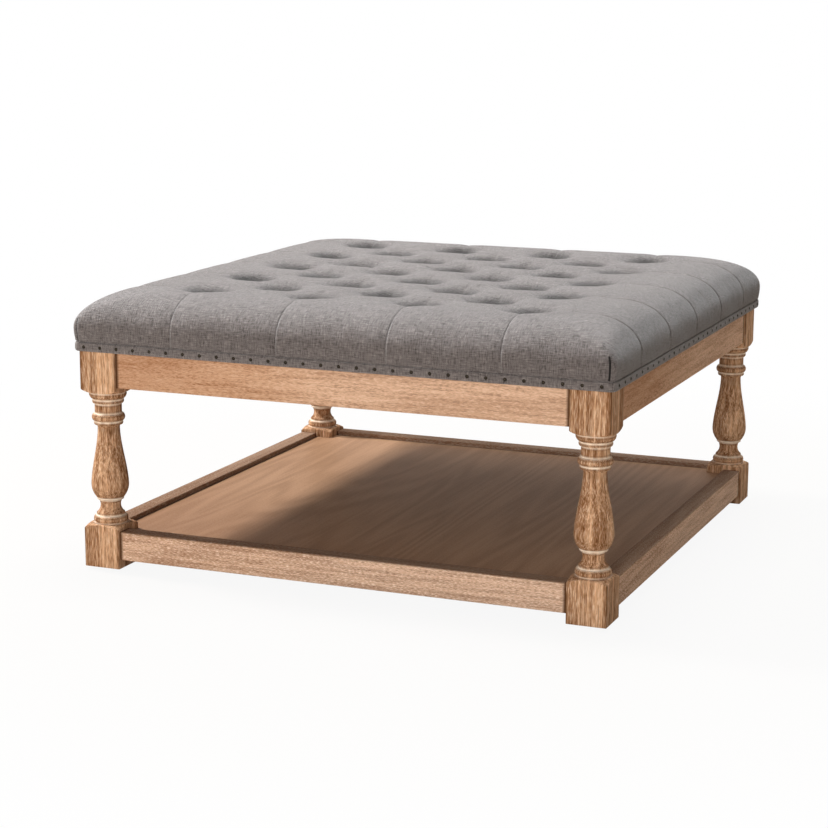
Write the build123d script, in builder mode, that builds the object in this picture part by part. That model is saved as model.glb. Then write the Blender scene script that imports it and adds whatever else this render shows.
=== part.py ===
from build123d import *
from math import cos, degrees, pi, radians, sin, sqrt
import os

# Ottoman coffee table, in millimetres. The origin is on the floor under the middle and +Z is up.
# The front is -Y and the right side is +X. The table is square, so a corner is drawn at +X +Y,
# a side at +Y, and both are turned by quarters.
os.makedirs("parts", exist_ok=True)

# Clearances and cuts
slip_gap = 0.1          # around dowels, nails and screws
bolt_gap = 0.5          # around a bolt in its brace
panel_gap = 0.7         # around the shelf panel
soft_gap = 0.3          # between the foam and its cover
overrun = 4.0           # how far a cut runs past the face it opens

# Frame
frame_side = 890.0      # across the outer faces of the legs
leg_side = 64.0         # the square blocks of a leg
edge_round = 1.5        # softened edges of the wood
leg_flat = 7.0          # depth of the flat on a leg's inner corner, where the brace bears
shoulder_drop = 6.5     # how far the turned shoulder of a block falls away at its corners

# Leg, from the foot up
lower_block_height = 71.4
torus_height = 12.3
torus_radius = 28.0
torus_round = 3.5
foot_height = 3.8
foot_radius = 23.0
waist_height = 22.3
waist_radius = 16.6
waist_top_radius = 19.5
ring_height = 2.6
ring_radius = 22.0
ring_round = 1.3
vase_height = 117.0
vase_foot_radius = 21.5
vase_belly_radius = 30.5
vase_neck_radius = 17.9
cove_height = 5.3
fillet_height = 5.4
fillet_radius = 23.7
fillet_round = 1.0
bead_height = 13.1
bead_radius = 26.9
bead_round = 3.9
drum_height = 16.7
drum_radius = 21.9
collar_height = 6.6
collar_radius = 25.7
collar_round = 1.3
ovolo_height = 11.9
ovolo_radius = 30.4
ovolo_nose = 1.5
upper_block_height = 69.6

# Places on the turned curves, as shares of their height and depth
shoulder_shares = (0.60, 0.35)
belly_share = 0.21
belly_curve_shares = (0.62, 0.07)
taper_shares = (0.52, 0.66)
ovolo_swell_share = 0.70
ovolo_curve_shares = (0.72, 0.30)
ovolo_nose_shares = (0.30, 0.88)

# Glides
glide_height = 5.0
glide_radius = 9.5
glide_round = 2.0
glide_nail_radius = 1.2
glide_nail_length = 20.0
glide_nail_head_radius = 3.2
glide_nail_head_height = 1.2
glide_nail_sink = 1.0

# Rails under the cushion
apron_height = 58.0
apron_thickness = 22.0
apron_setback = 3.5

# Shelf
rail_rise = 15.5        # from the foot of a leg to the underside of the rail
rail_height = 47.0
rail_thickness = 30.0
rail_setback = 3.0
panel_drop = 7.5        # from the top of the rail to the panel
panel_thickness = 12.0
cleat_side = 18.0
cleat_gap = 3.0         # between the end of a cleat and the brace
shelf_bearer_width = 22.0
shelf_bearer_height = 24.0

# Dowels between the legs and the rails
dowel_radius = 4.0
dowel_length = 36.0
dowel_chamfer = 1.0
dowel_height_shares = (0.28, 0.72)

# Corner braces, their bolts and screws
brace_thickness = 22.0
upper_brace_height = 40.0
lower_brace_height = 26.0
upper_bolt_shares = (0.25, 0.75)
lower_bolt_shares = (0.50,)
brace_screw_shares = (0.26, 0.74)
bolt_radius = 4.0
bolt_bite = 34.0        # length in the leg
bolt_tip = 3.0          # length past the nut
bolt_chamfer = 0.8
washer_radius = 8.0
washer_thickness = 1.6
nut_radius = 7.5
nut_height = 6.5
screw_radius = 2.0
screw_head_radius = 4.0
screw_head_height = 2.6
brace_screw_grip = 10.0
brace_screw_bite = 16.0
deck_screw_offset = 35.0
deck_screw_sink = 9.0
deck_screw_bite = 11.0
cleat_screw_sink = 5.0
cleat_screw_bite = 11.0
cleat_screw_shares = (-0.7, 0.0, 0.7)
panel_screw_sink = 7.0
panel_screw_bite = 8.0
panel_screw_shares = (-0.45, 0.45)

# Deck under the cushion
band_overhang = 7.0     # from the outer face of a leg to the face of the fabric band
band_height = 15.0
band_thickness = 2.0
band_corner = 22.0
cover_thickness = 1.2
hem_width = 40.0        # turned in under the deck
deck_thickness = 15.0
deck_bearer_width = 22.0
deck_bearer_height = 40.0
tenon_width = 12.0
tenon_height = 26.0
tenon_length = 8.0

# Nails of the band
nails_per_side = 30
nail_head_radius = 3.2
nail_head_height = 2.0
nail_radius = 0.6
nail_length = 13.0

# Cushion, from the top of the band up
cushion_height = 79.0
cushion_bulge = 5.0     # beyond the face of the band
crown_reach = 65.0      # from the widest place in to the flat of the crown
crown_corner = 76.0     # corner radius at the flat of the crown
tuft_rows = 9
wide_row_tufts = 4
tuft_pitch_x = 184.0
tuft_pitch_y = 160.0    # between two wide rows, with a narrow row half way
tuft_depth = 32.0
tuft_reach = 60.0       # from a tuft out to where its hollow's curve starts
tuft_lip = 1.5          # how far that start stands over the crown
pit_radius = 4.0
pit_drop = 1.0          # from the foot of the hollow to the floor of its pit
seam_width = 2.4
seam_depth = 2.6
dart_height = 34.0      # sewn corner over the band
twine_radius = 1.0
twine_hole_radius = 2.5
knot_radius = 2.2
knot_height = 1.0
anchor_radius = 7.0
anchor_thickness = 2.0

# Sections of the cushion: its height, its bulge, its reach inwards and its corner, as shares
crown_shares = [
    (0.00, 0.0, 0.00, 0.00),
    (0.14, 0.8, 0.00, 0.06),
    (0.36, 1.0, 0.00, 0.20),
    (0.60, 1.0, 0.12, 0.42),
    (0.80, 1.0, 0.33, 0.68),
    (0.94, 1.0, 0.62, 0.88),
    (1.00, 1.0, 1.00, 1.00),
]

# Heights over the floor
foot_z = glide_height
torus_z = foot_z + lower_block_height
leg_foot_z = torus_z + torus_height
waist_z = leg_foot_z + foot_height
ring_z = waist_z + waist_height
vase_z = ring_z + ring_height
cove_z = vase_z + vase_height
fillet_z = cove_z + cove_height
bead_z = fillet_z + fillet_height
drum_z = bead_z + bead_height
collar_z = drum_z + drum_height
ovolo_z = collar_z + collar_height
upper_block_z = ovolo_z + ovolo_height
frame_top_z = upper_block_z + upper_block_height
apron_z = frame_top_z - apron_height
upper_brace_z = frame_top_z - upper_brace_height
deck_bearer_z = frame_top_z - deck_bearer_height
rail_z = foot_z + rail_rise
panel_z = rail_z + rail_height - panel_drop - panel_thickness
cleat_z = panel_z - cleat_side
lower_brace_z = panel_z - lower_brace_height
band_top_z = frame_top_z + band_height
deck_z = frame_top_z + cover_thickness
deck_top_z = deck_z + deck_thickness
cushion_top_z = band_top_z + cushion_height

# Places across the table
outer_face = frame_side / 2
leg_inner = outer_face - leg_side
leg_axis = outer_face - leg_side / 2
leg_corner_radius = leg_side / sqrt(2)
apron_inner = outer_face - apron_setback - apron_thickness
apron_middle = apron_inner + apron_thickness / 2
rail_inner = outer_face - rail_setback - rail_thickness
rail_middle = rail_inner + rail_thickness / 2
brace_face = leg_inner * sqrt(2) + leg_flat             # from the middle to a brace's outer face
brace_sum = brace_face * sqrt(2)                        # x + y along that face
brace_width = brace_thickness * sqrt(2)                 # of a brace along a rail
cleat_half = brace_sum - brace_width - rail_inner - cleat_gap
band_face = outer_face + band_overhang
cover_face = band_face - band_thickness
cover_corner = band_corner - band_thickness
deck_edge = cover_face - cover_thickness
deck_corner = cover_corner - cover_thickness

# Lengths of the screws under their heads
deck_screw_grip = upper_brace_height - deck_screw_sink + cover_thickness
cleat_screw_grip = cleat_side - cleat_screw_sink
panel_screw_grip = cleat_side - panel_screw_sink

side_turns = [("back", 0), ("left", 1), ("front", 2), ("right", 3)]
corner_turns = [("back_right", 0), ("back_left", 1), ("front_left", 2), ("front_right", 3)]
standing = (Align.CENTER, Align.CENTER, Align.MIN)
hanging = (Align.CENTER, Align.CENTER, Align.MAX)


# Level plane at a height, turned so that its +Y points to a side
def turned(turns, height=0.0):
    return Plane.XY.rotated((0, 0, 90 * turns)).offset(height)


# Upright plane at a place of a turned quarter, whose normal heads off at an angle from its +X
def heading(turns, x, y, z, angle):
    way = radians(90 * turns + angle)
    origin = turned(turns, z).from_local_coords((x, y, 0))
    return Plane(origin, x_dir=(-sin(way), cos(way), 0), z_dir=(cos(way), sin(way), 0))


# Upright plane through a place of a side, with +X pointing out of that side and +Y up
def outward(turns, x):
    way = radians(90 * turns + 90)
    origin = turned(turns).from_local_coords((x, 0, 0))
    return Plane(origin, x_dir=(cos(way), sin(way), 0), z_dir=(sin(way), -cos(way), 0))


def write(piece, name):
    piece.part.label = name
    export_step(piece.part, "parts/" + name + ".step")


# Places shared by the holes and by what sits in them
def apron_dowel_planes(turns):
    heights = [apron_z + apron_height * share for share in dowel_height_shares]
    return [heading(turns, side * leg_inner, apron_middle, z, 0) for side in (-1, 1) for z in heights]


def rail_dowel_planes(turns):
    heights = [rail_z + rail_height * share for share in dowel_height_shares]
    return [heading(turns, side * leg_inner, rail_middle, z, 0) for side in (-1, 1) for z in heights]


def bolt_planes(turns):
    upper = [upper_brace_z + upper_brace_height * share for share in upper_bolt_shares]
    lower = [lower_brace_z + lower_brace_height * share for share in lower_bolt_shares]
    along = brace_face / sqrt(2)
    return [heading(turns, along, along, z, 45) for z in upper + lower]


def brace_screw_planes(turns, inner, base, height):
    middle = brace_sum - brace_width / 2 - inner
    heights = [base + height * share for share in brace_screw_shares]
    seat = inner - brace_screw_grip
    on_back = [heading(turns, middle, seat, z, 90) for z in heights]
    on_right = [heading(turns, seat, middle, z, 0) for z in heights]
    return on_back + on_right


def deck_screw_planes(turns):
    middle = (brace_sum - brace_width / 2) / 2
    shift = deck_screw_offset / sqrt(2)
    seat = turned(turns, upper_brace_z + deck_screw_sink)
    places = [(middle + shift, middle - shift), (middle - shift, middle + shift)]
    return [Plane(seat.from_local_coords((x, y, 0)), z_dir=(0, 0, 1)) for x, y in places]


def cleat_screw_planes(turns):
    seat = rail_inner - cleat_screw_grip
    middle_z = cleat_z + cleat_side / 2
    return [heading(turns, cleat_half * share, seat, middle_z, 90) for share in cleat_screw_shares]


def panel_screw_planes(turns):
    seat = turned(turns, cleat_z + panel_screw_sink)
    row = rail_inner - cleat_side / 2
    places = [seat.from_local_coords((cleat_half * share, row, 0)) for share in panel_screw_shares]
    return [Plane(place, z_dir=(0, 0, 1)) for place in places]


# Nails follow the band at an even pitch, round its corners too
def nail_planes(turns):
    straight = band_face - band_corner
    pitch = (2 * straight + band_corner * pi / 2) / nails_per_side
    planes = []
    for number in range(nails_per_side):
        way_along = (number - (nails_per_side - 1) / 2) * pitch
        side = 1 if way_along > 0 else -1
        bend = max(abs(way_along) - straight, 0) / band_corner
        x = side * (min(abs(way_along), straight) + band_corner * sin(bend))
        y = straight + band_corner * cos(bend)
        planes.append(heading(turns, x, y, frame_top_z + band_height / 2, 90 - side * degrees(bend)))
    return planes


def row_places(count, pitch):
    return [(number - (count - 1) / 2) * pitch for number in range(count)]


wide_row_places = row_places(wide_row_tufts, tuft_pitch_x)
narrow_row_places = row_places(wide_row_tufts - 1, tuft_pitch_x)
tuft_row_places = row_places(tuft_rows, tuft_pitch_y / 2)
tuft_places = []
for row_number, row_y in enumerate(tuft_row_places):
    row_x = narrow_row_places if row_number % 2 else wide_row_places
    tuft_places += [(x, row_y) for x in row_x]


# A drilled hole along a plane's normal, from the plane outwards
def drill(planes, radius, depth):
    with Locations(*planes):
        Cylinder(radius, depth, align=standing, mode=Mode.SUBTRACT)


# A pocket behind a plane, for a head and its driver
def sink(planes, radius, depth):
    with Locations(*planes):
        Cylinder(radius, depth, align=hanging, mode=Mode.SUBTRACT)


def bar(turns, x, y, z, length, width, height):
    with BuildSketch(turned(turns, z)) as outline:
        with Locations((x, y)):
            Rectangle(length, width)
    extrude(outline.sketch, amount=height)


# Legs
def moulding(base, height, radius, depth):
    ThreePointArc((radius - depth, base), (radius, base + height / 2), (radius - depth, base + height))


with BuildPart() as turning:
    with BuildSketch(Plane.XZ):
        with BuildLine():
            belly_z = vase_z + vase_height * belly_share
            belly_swell = vase_belly_radius - vase_foot_radius
            taper_radius = vase_neck_radius + (vase_belly_radius - vase_neck_radius) * taper_shares[0]
            cove_top_radius = fillet_radius - fillet_round
            cove_depth = cove_top_radius - vase_neck_radius
            collar_edge = collar_radius - collar_round
            swell_height = ovolo_height * ovolo_swell_share
            ovolo_depth = ovolo_radius - collar_edge
            Line((0, torus_z), (torus_radius - torus_round, torus_z))
            moulding(torus_z, torus_height, torus_radius, torus_round)
            Line((torus_radius - torus_round, leg_foot_z), (foot_radius, leg_foot_z))
            Line((foot_radius, leg_foot_z), (foot_radius, waist_z))
            ThreePointArc(
                (foot_radius, waist_z),
                (waist_radius, waist_z + waist_height / 2),
                (waist_top_radius, ring_z),
            )
            Line((waist_top_radius, ring_z), (ring_radius - ring_round, ring_z))
            moulding(ring_z, ring_height, ring_radius, ring_round)
            Line((ring_radius - ring_round, vase_z), (vase_foot_radius, vase_z))
            ThreePointArc(
                (vase_foot_radius, vase_z),
                (
                    vase_foot_radius + belly_swell * belly_curve_shares[0],
                    vase_z + vase_height * belly_curve_shares[1],
                ),
                (vase_belly_radius, belly_z),
            )
            Spline(
                (vase_belly_radius, belly_z),
                (taper_radius, vase_z + vase_height * taper_shares[1]),
                (vase_neck_radius, cove_z),
                tangents=[(0, 1), (0, 1)],
            )
            ThreePointArc(
                (vase_neck_radius, cove_z),
                (cove_top_radius - cove_depth / sqrt(2), cove_z + cove_height / sqrt(2)),
                (cove_top_radius, fillet_z),
            )
            moulding(fillet_z, fillet_height, fillet_radius, fillet_round)
            Line((cove_top_radius, bead_z), (bead_radius - bead_round, bead_z))
            moulding(bead_z, bead_height, bead_radius, bead_round)
            Line((bead_radius - bead_round, drum_z), (drum_radius, drum_z))
            Line((drum_radius, drum_z), (drum_radius, collar_z))
            Line((drum_radius, collar_z), (collar_edge, collar_z))
            moulding(collar_z, collar_height, collar_radius, collar_round)
            ThreePointArc(
                (collar_edge, ovolo_z),
                (
                    collar_edge + ovolo_depth * ovolo_curve_shares[0],
                    ovolo_z + ovolo_height * ovolo_curve_shares[1],
                ),
                (ovolo_radius, ovolo_z + swell_height),
            )
            ThreePointArc(
                (ovolo_radius, ovolo_z + swell_height),
                (
                    ovolo_radius - ovolo_nose * ovolo_nose_shares[0],
                    ovolo_z + ovolo_height * ovolo_nose_shares[1],
                ),
                (ovolo_radius - ovolo_nose, upper_block_z),
            )
            Line((ovolo_radius - ovolo_nose, upper_block_z), (0, upper_block_z))
            Line((0, upper_block_z), (0, torus_z))
        make_face()
    revolve(axis=Axis.Z)


# What the lathe takes off a block beside its shoulder, upwards or downwards from a height
def shoulder_cut(start_radius, z, way):
    depth = leg_corner_radius - start_radius
    side = leg_corner_radius + overrun
    with BuildSketch(Plane.XZ) as outline:
        with BuildLine():
            ThreePointArc(
                (start_radius, z),
                (start_radius + depth * shoulder_shares[0], z - way * shoulder_drop * shoulder_shares[1]),
                (leg_corner_radius, z - way * shoulder_drop),
            )
            Polyline(
                (leg_corner_radius, z - way * shoulder_drop),
                (side, z - way * shoulder_drop),
                (side, z + way * overrun),
                (start_radius, z + way * overrun),
                (start_radius, z),
            )
        make_face()
    revolve(outline.sketch, axis=Axis.Z)


with BuildPart() as shoulder_cuts:
    shoulder_cut(torus_radius, torus_z, 1)
    shoulder_cut(ovolo_radius, upper_block_z, -1)


def corner_flat(turns, z, height):
    start = leg_inner - overrun
    with BuildSketch(turned(turns, z)) as outline:
        with BuildLine():
            Polyline((start, start), (brace_sum - start, start), (start, brace_sum - start), close=True)
        make_face()
    extrude(outline.sketch, amount=height, mode=Mode.SUBTRACT)


for corner_name, turns in corner_turns:
    with BuildPart() as leg:
        bar(turns, leg_axis, leg_axis, foot_z, leg_side, leg_side, lower_block_height)
        bar(turns, leg_axis, leg_axis, upper_block_z, leg_side, leg_side, upper_block_height)
        fillet(leg.edges().filter_by(Axis.Z), radius=edge_round)
        chamfer(leg.faces().sort_by(Axis.Z)[0].edges(), length=edge_round)
        with Locations(turned(turns).from_local_coords((leg_axis, leg_axis, 0))):
            add(shoulder_cuts.part, mode=Mode.SUBTRACT)
            add(turning.part)
        corner_flat(turns, foot_z, panel_z - foot_z)
        corner_flat(turns, upper_brace_z, upper_brace_height)
        drill(bolt_planes(turns), bolt_radius + slip_gap, bolt_bite + slip_gap)
        # The rails of the two sides that meet here
        dowel_depth = dowel_length / 2 + slip_gap
        back_dowels = apron_dowel_planes(turns)[2:] + rail_dowel_planes(turns)[2:]
        drill(back_dowels, dowel_radius + slip_gap, dowel_depth)
        right_dowels = apron_dowel_planes(turns + 3)[:2] + rail_dowel_planes(turns + 3)[:2]
        sink(right_dowels, dowel_radius + slip_gap, dowel_depth)
        nail_seat = turned(turns, foot_z).from_local_coords((leg_axis, leg_axis, 0))
        nail_rise = glide_nail_sink + glide_nail_head_height + glide_nail_length - glide_height
        drill([Plane(nail_seat, z_dir=(0, 0, 1))], glide_nail_radius + slip_gap, nail_rise + slip_gap)
    write(leg, "leg_" + corner_name)

    with BuildPart() as glide:
        with Locations(turned(turns).from_local_coords((leg_axis, leg_axis, 0))):
            Cylinder(glide_radius, glide_height, align=standing)
            fillet(glide.edges().filter_by(GeomType.CIRCLE).sort_by(Axis.Z)[0], radius=glide_round)
            Cylinder(glide_nail_radius + slip_gap, glide_height, align=standing, mode=Mode.SUBTRACT)
            Cylinder(
                glide_nail_head_radius + slip_gap,
                glide_nail_sink + glide_nail_head_height,
                align=standing,
                mode=Mode.SUBTRACT,
            )
    write(glide, "glide_" + corner_name)

with BuildPart() as glide_nails:
    for corner_name, turns in corner_turns:
        with Locations(turned(turns, glide_nail_sink).from_local_coords((leg_axis, leg_axis, 0))):
            Cylinder(glide_nail_head_radius, glide_nail_head_height, align=standing)
            Cylinder(glide_nail_radius, glide_nail_head_height + glide_nail_length, align=standing)
write(glide_nails, "glide_nails")


# Rails under the cushion, with a mortise for the bearer in the front and the back one
for side_name, turns in side_turns:
    with BuildPart() as apron:
        bar(turns, 0, apron_middle, apron_z, 2 * leg_inner, apron_thickness, apron_height)
        fillet(apron.edges().filter_by(Axis((0, 0, 0), turned(turns).x_dir)), radius=edge_round)
        drill(apron_dowel_planes(turns)[:2], dowel_radius + slip_gap, dowel_length / 2 + slip_gap)
        sink(apron_dowel_planes(turns)[2:], dowel_radius + slip_gap, dowel_length / 2 + slip_gap)
        screws = brace_screw_planes(turns, apron_inner, upper_brace_z, upper_brace_height)[:2]
        screws += brace_screw_planes(turns + 1, apron_inner, upper_brace_z, upper_brace_height)[2:]
        drill(screws, screw_radius + slip_gap, brace_screw_grip + brace_screw_bite + slip_gap)
        if side_name in ("front", "back"):
            mortise_middle = deck_bearer_z + deck_bearer_height / 2
            with BuildSketch(heading(turns, 0, apron_inner, mortise_middle, 90)):
                Rectangle(tenon_width + 2 * slip_gap, tenon_height + 2 * slip_gap)
            extrude(amount=tenon_length + slip_gap, mode=Mode.SUBTRACT)
    write(apron, "apron_" + side_name)

with BuildPart() as deck_bearer:
    bar(0, 0, 0, deck_bearer_z, deck_bearer_width, 2 * apron_inner, deck_bearer_height)
    tenon_z = deck_bearer_z + (deck_bearer_height - tenon_height) / 2
    bar(0, 0, 0, tenon_z, tenon_width, 2 * (apron_inner + tenon_length), tenon_height)
write(deck_bearer, "deck_bearer")

# Rails, cleats and panel of the shelf
for side_name, turns in side_turns:
    with BuildPart() as shelf_rail:
        bar(turns, 0, rail_middle, rail_z, 2 * leg_inner, rail_thickness, rail_height)
        fillet(shelf_rail.edges().filter_by(Axis((0, 0, 0), turned(turns).x_dir)), radius=edge_round)
        drill(rail_dowel_planes(turns)[:2], dowel_radius + slip_gap, dowel_length / 2 + slip_gap)
        sink(rail_dowel_planes(turns)[2:], dowel_radius + slip_gap, dowel_length / 2 + slip_gap)
        screws = brace_screw_planes(turns, rail_inner, lower_brace_z, lower_brace_height)[:2]
        screws += brace_screw_planes(turns + 1, rail_inner, lower_brace_z, lower_brace_height)[2:]
        drill(screws, screw_radius + slip_gap, brace_screw_grip + brace_screw_bite + slip_gap)
        cleat_screw_length = cleat_screw_grip + cleat_screw_bite
        drill(cleat_screw_planes(turns), screw_radius + slip_gap, cleat_screw_length + slip_gap)
    write(shelf_rail, "shelf_rail_" + side_name)

    with BuildPart() as cleat:
        bar(turns, 0, rail_inner - cleat_side / 2, cleat_z, 2 * cleat_half, cleat_side, cleat_side)
        drill(cleat_screw_planes(turns), screw_radius + slip_gap, cleat_side)
        sink(cleat_screw_planes(turns), screw_head_radius + slip_gap, cleat_side)
        drill(panel_screw_planes(turns), screw_radius + slip_gap, cleat_side)
        sink(panel_screw_planes(turns), screw_head_radius + slip_gap, cleat_side)
    write(cleat, "shelf_cleat_" + side_name)

with BuildPart() as shelf_panel:
    with BuildSketch(Plane.XY.offset(panel_z)):
        Rectangle(2 * (rail_inner - panel_gap), 2 * (rail_inner - panel_gap))
        with GridLocations(2 * leg_axis, 2 * leg_axis, 2, 2):
            Rectangle(leg_side + 2 * panel_gap, leg_side + 2 * panel_gap, mode=Mode.SUBTRACT)
    extrude(amount=panel_thickness)
    for side_name, turns in side_turns:
        panel_screw_length = panel_screw_grip + panel_screw_bite
        drill(panel_screw_planes(turns), screw_radius + slip_gap, panel_screw_length + slip_gap)
write(shelf_panel, "shelf_panel")

with BuildPart() as shelf_bearer:
    bearer_length = 2 * (rail_inner - cleat_side)
    bar(0, 0, 0, panel_z - shelf_bearer_height, shelf_bearer_width, bearer_length, shelf_bearer_height)
write(shelf_bearer, "shelf_bearer")


# Corner braces, drawn in plan between the inner faces of two rails
def brace(turns, inner, base, height):
    near = brace_sum - brace_width - inner
    far = brace_sum - inner
    with BuildSketch(turned(turns, base)) as outline:
        with BuildLine():
            Polyline((near, inner), (far, inner), (inner, far), (inner, near), close=True)
        make_face()
    extrude(outline.sketch, amount=height)
    sink(bolt_planes(turns), bolt_radius + bolt_gap, brace_thickness)
    screws = brace_screw_planes(turns, inner, base, height)
    drill(screws, screw_radius + slip_gap, brace_screw_grip)
    sink(screws, screw_head_radius + slip_gap, brace_width)


for corner_name, turns in corner_turns:
    with BuildPart() as upper_brace:
        brace(turns, apron_inner, upper_brace_z, upper_brace_height)
        drill(deck_screw_planes(turns), screw_radius + slip_gap, upper_brace_height)
        sink(deck_screw_planes(turns), screw_head_radius + slip_gap, deck_screw_sink)
    write(upper_brace, "upper_brace_" + corner_name)
    with BuildPart() as lower_brace:
        brace(turns, rail_inner, lower_brace_z, lower_brace_height)
    write(lower_brace, "lower_brace_" + corner_name)

# Dowels, bolts, washers, nuts and screws, each kind one group
with BuildPart() as dowel:
    Cylinder(dowel_radius, dowel_length)
    chamfer(dowel.edges().filter_by(GeomType.CIRCLE), length=dowel_chamfer)

with BuildPart() as apron_dowels:
    for side_name, turns in side_turns:
        with Locations(*apron_dowel_planes(turns)):
            add(dowel.part)
write(apron_dowels, "apron_dowels")

with BuildPart() as shelf_dowels:
    for side_name, turns in side_turns:
        with Locations(*rail_dowel_planes(turns)):
            add(dowel.part)
write(shelf_dowels, "shelf_dowels")

bolt_run = brace_thickness + washer_thickness + nut_height + bolt_tip
with BuildPart() as bolt:
    with Locations((0, 0, -bolt_run)):
        Cylinder(bolt_radius, bolt_run + bolt_bite, align=standing)
    chamfer(bolt.edges().filter_by(GeomType.CIRCLE), length=bolt_chamfer)

with BuildPart() as washer:
    with Locations((0, 0, -brace_thickness)):
        Cylinder(washer_radius, washer_thickness, align=hanging)
        Cylinder(bolt_radius + slip_gap, washer_thickness, align=hanging, mode=Mode.SUBTRACT)

with BuildPart() as nut:
    with BuildSketch(Plane.XY.offset(-brace_thickness - washer_thickness)):
        RegularPolygon(nut_radius, 6)
        Circle(bolt_radius + slip_gap, mode=Mode.SUBTRACT)
    extrude(amount=-nut_height)

for fastener, group_name in ((bolt, "leg_bolts"), (washer, "bolt_washers"), (nut, "bolt_nuts")):
    with BuildPart() as group:
        for corner_name, turns in corner_turns:
            with Locations(*bolt_planes(turns)):
                add(fastener.part)
    write(group, group_name)


# Pan-head screw along +Z, with the underside of its head at the origin
def screw(length):
    with BuildPart() as piece:
        Cylinder(screw_radius, length, align=standing)
        Cylinder(screw_head_radius, screw_head_height, align=hanging)
        fillet(piece.edges().filter_by(GeomType.CIRCLE).sort_by(Axis.Z)[0], radius=screw_head_height / 3)
    return piece.part


brace_screw = screw(brace_screw_grip + brace_screw_bite)
with BuildPart() as brace_screws:
    for corner_name, turns in corner_turns:
        with Locations(*brace_screw_planes(turns, apron_inner, upper_brace_z, upper_brace_height)):
            add(brace_screw)
        with Locations(*brace_screw_planes(turns, rail_inner, lower_brace_z, lower_brace_height)):
            add(brace_screw)
write(brace_screws, "brace_screws")

cleat_screw = screw(cleat_screw_grip + cleat_screw_bite)
panel_screw = screw(panel_screw_grip + panel_screw_bite)
with BuildPart() as cleat_screws:
    for side_name, turns in side_turns:
        with Locations(*cleat_screw_planes(turns)):
            add(cleat_screw)
write(cleat_screws, "cleat_screws")

with BuildPart() as panel_screws:
    for side_name, turns in side_turns:
        with Locations(*panel_screw_planes(turns)):
            add(panel_screw)
write(panel_screws, "panel_screws")

deck_screw = screw(deck_screw_grip + deck_screw_bite)
with BuildPart() as deck_screws:
    for corner_name, turns in corner_turns:
        with Locations(*deck_screw_planes(turns)):
            add(deck_screw)
write(deck_screws, "deck_screws")

# Deck board, drilled for the twines, with a pocket for each anchor in its underside
pocket_depth = anchor_thickness + knot_height
tuft_seats = [Plane((x, y, deck_z), z_dir=(0, 0, 1)) for x, y in tuft_places]
with BuildPart() as deck_board:
    with BuildSketch(Plane.XY.offset(deck_z)):
        RectangleRounded(2 * deck_edge, 2 * deck_edge, deck_corner)
    extrude(amount=deck_thickness)
    drill(tuft_seats, twine_hole_radius, deck_thickness)
    drill(tuft_seats, anchor_radius + slip_gap, pocket_depth)
    for side_name, turns in side_turns:
        sink(nail_planes(turns), nail_radius + slip_gap, nail_length + slip_gap)
    for corner_name, turns in corner_turns:
        drill(deck_screw_planes(turns), screw_radius + slip_gap, deck_screw_grip + deck_screw_bite + slip_gap)
write(deck_board, "deck_board")

with BuildPart() as dust_cover:
    with BuildSketch(Plane.XY.offset(frame_top_z)):
        dust_edge = deck_edge - hem_width - soft_gap
        Rectangle(2 * dust_edge, 2 * dust_edge)
    extrude(amount=cover_thickness)
    for corner_name, turns in corner_turns:
        drill(deck_screw_planes(turns), screw_radius + slip_gap, deck_screw_grip)
write(dust_cover, "dust_cover")


# Cushion: each section is a square with round corners, drawn in by an inset
def cushion_sections(start_z, inset):
    sections = []
    for height_share, bulge_share, reach_share, corner_share in crown_shares:
        z = band_top_z + cushion_height * height_share - inset if sections else start_z
        half = band_face + cushion_bulge * bulge_share - crown_reach * reach_share - inset
        corner = band_corner + (crown_corner - band_corner) * corner_share
        sections.append((z, half, corner))
    return sections


# Hollow round a tuft: its wall is an arc that starts over the crown and ends in a small pit
def tuft_cutter(inset):
    fall = tuft_depth + tuft_lip
    run = tuft_reach - pit_radius
    arc_radius = (run**2 + fall**2) / (2 * fall)
    wall_radius = arc_radius - inset
    wall_sine = run / arc_radius
    wall_cosine = 1 - fall / arc_radius
    middle_sine = sqrt((1 - wall_cosine) / 2)
    middle_cosine = sqrt((1 + wall_cosine) / 2)
    start_z = cushion_top_z + tuft_lip - inset
    centre_z = cushion_top_z + tuft_lip - arc_radius
    floor_z = cushion_top_z - tuft_depth - pit_drop - inset
    end = (tuft_reach - wall_radius * wall_sine, centre_z + wall_radius * wall_cosine)
    with BuildPart() as cutter:
        with BuildSketch(Plane.XZ):
            with BuildLine():
                ThreePointArc(
                    (tuft_reach, start_z),
                    (tuft_reach - wall_radius * middle_sine, centre_z + wall_radius * middle_cosine),
                    end,
                )
                Polyline(
                    end,
                    (end[0], floor_z),
                    (0, floor_z),
                    (0, start_z + overrun),
                    (tuft_reach, start_z + overrun),
                    (tuft_reach, start_z),
                )
            make_face()
        revolve(axis=Axis.Z)
    return cutter.part


# Sewn seam from an outer tuft over the edge and down to the band
def seam_cut(turns, x, tuft_distance, sections, inset):
    outside = band_face + cushion_bulge + overrun
    low_z = sections[0][0] - overrun
    points = [(half - seam_depth, z - seam_depth) for z, half, corner in sections[1:]]
    start = (sections[0][1] - seam_depth, low_z)
    end = (tuft_distance, sections[-1][0] - seam_depth)
    with BuildSketch(outward(turns, x)) as outline:
        with BuildLine():
            Polyline(
                start,
                *points,
                end,
                (tuft_distance, cushion_top_z + overrun),
                (outside, cushion_top_z + overrun),
                (outside, low_z),
                close=True,
            )
        make_face()
    extrude(outline.sketch, amount=seam_width / 2 + inset, both=True, mode=Mode.SUBTRACT)


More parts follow.
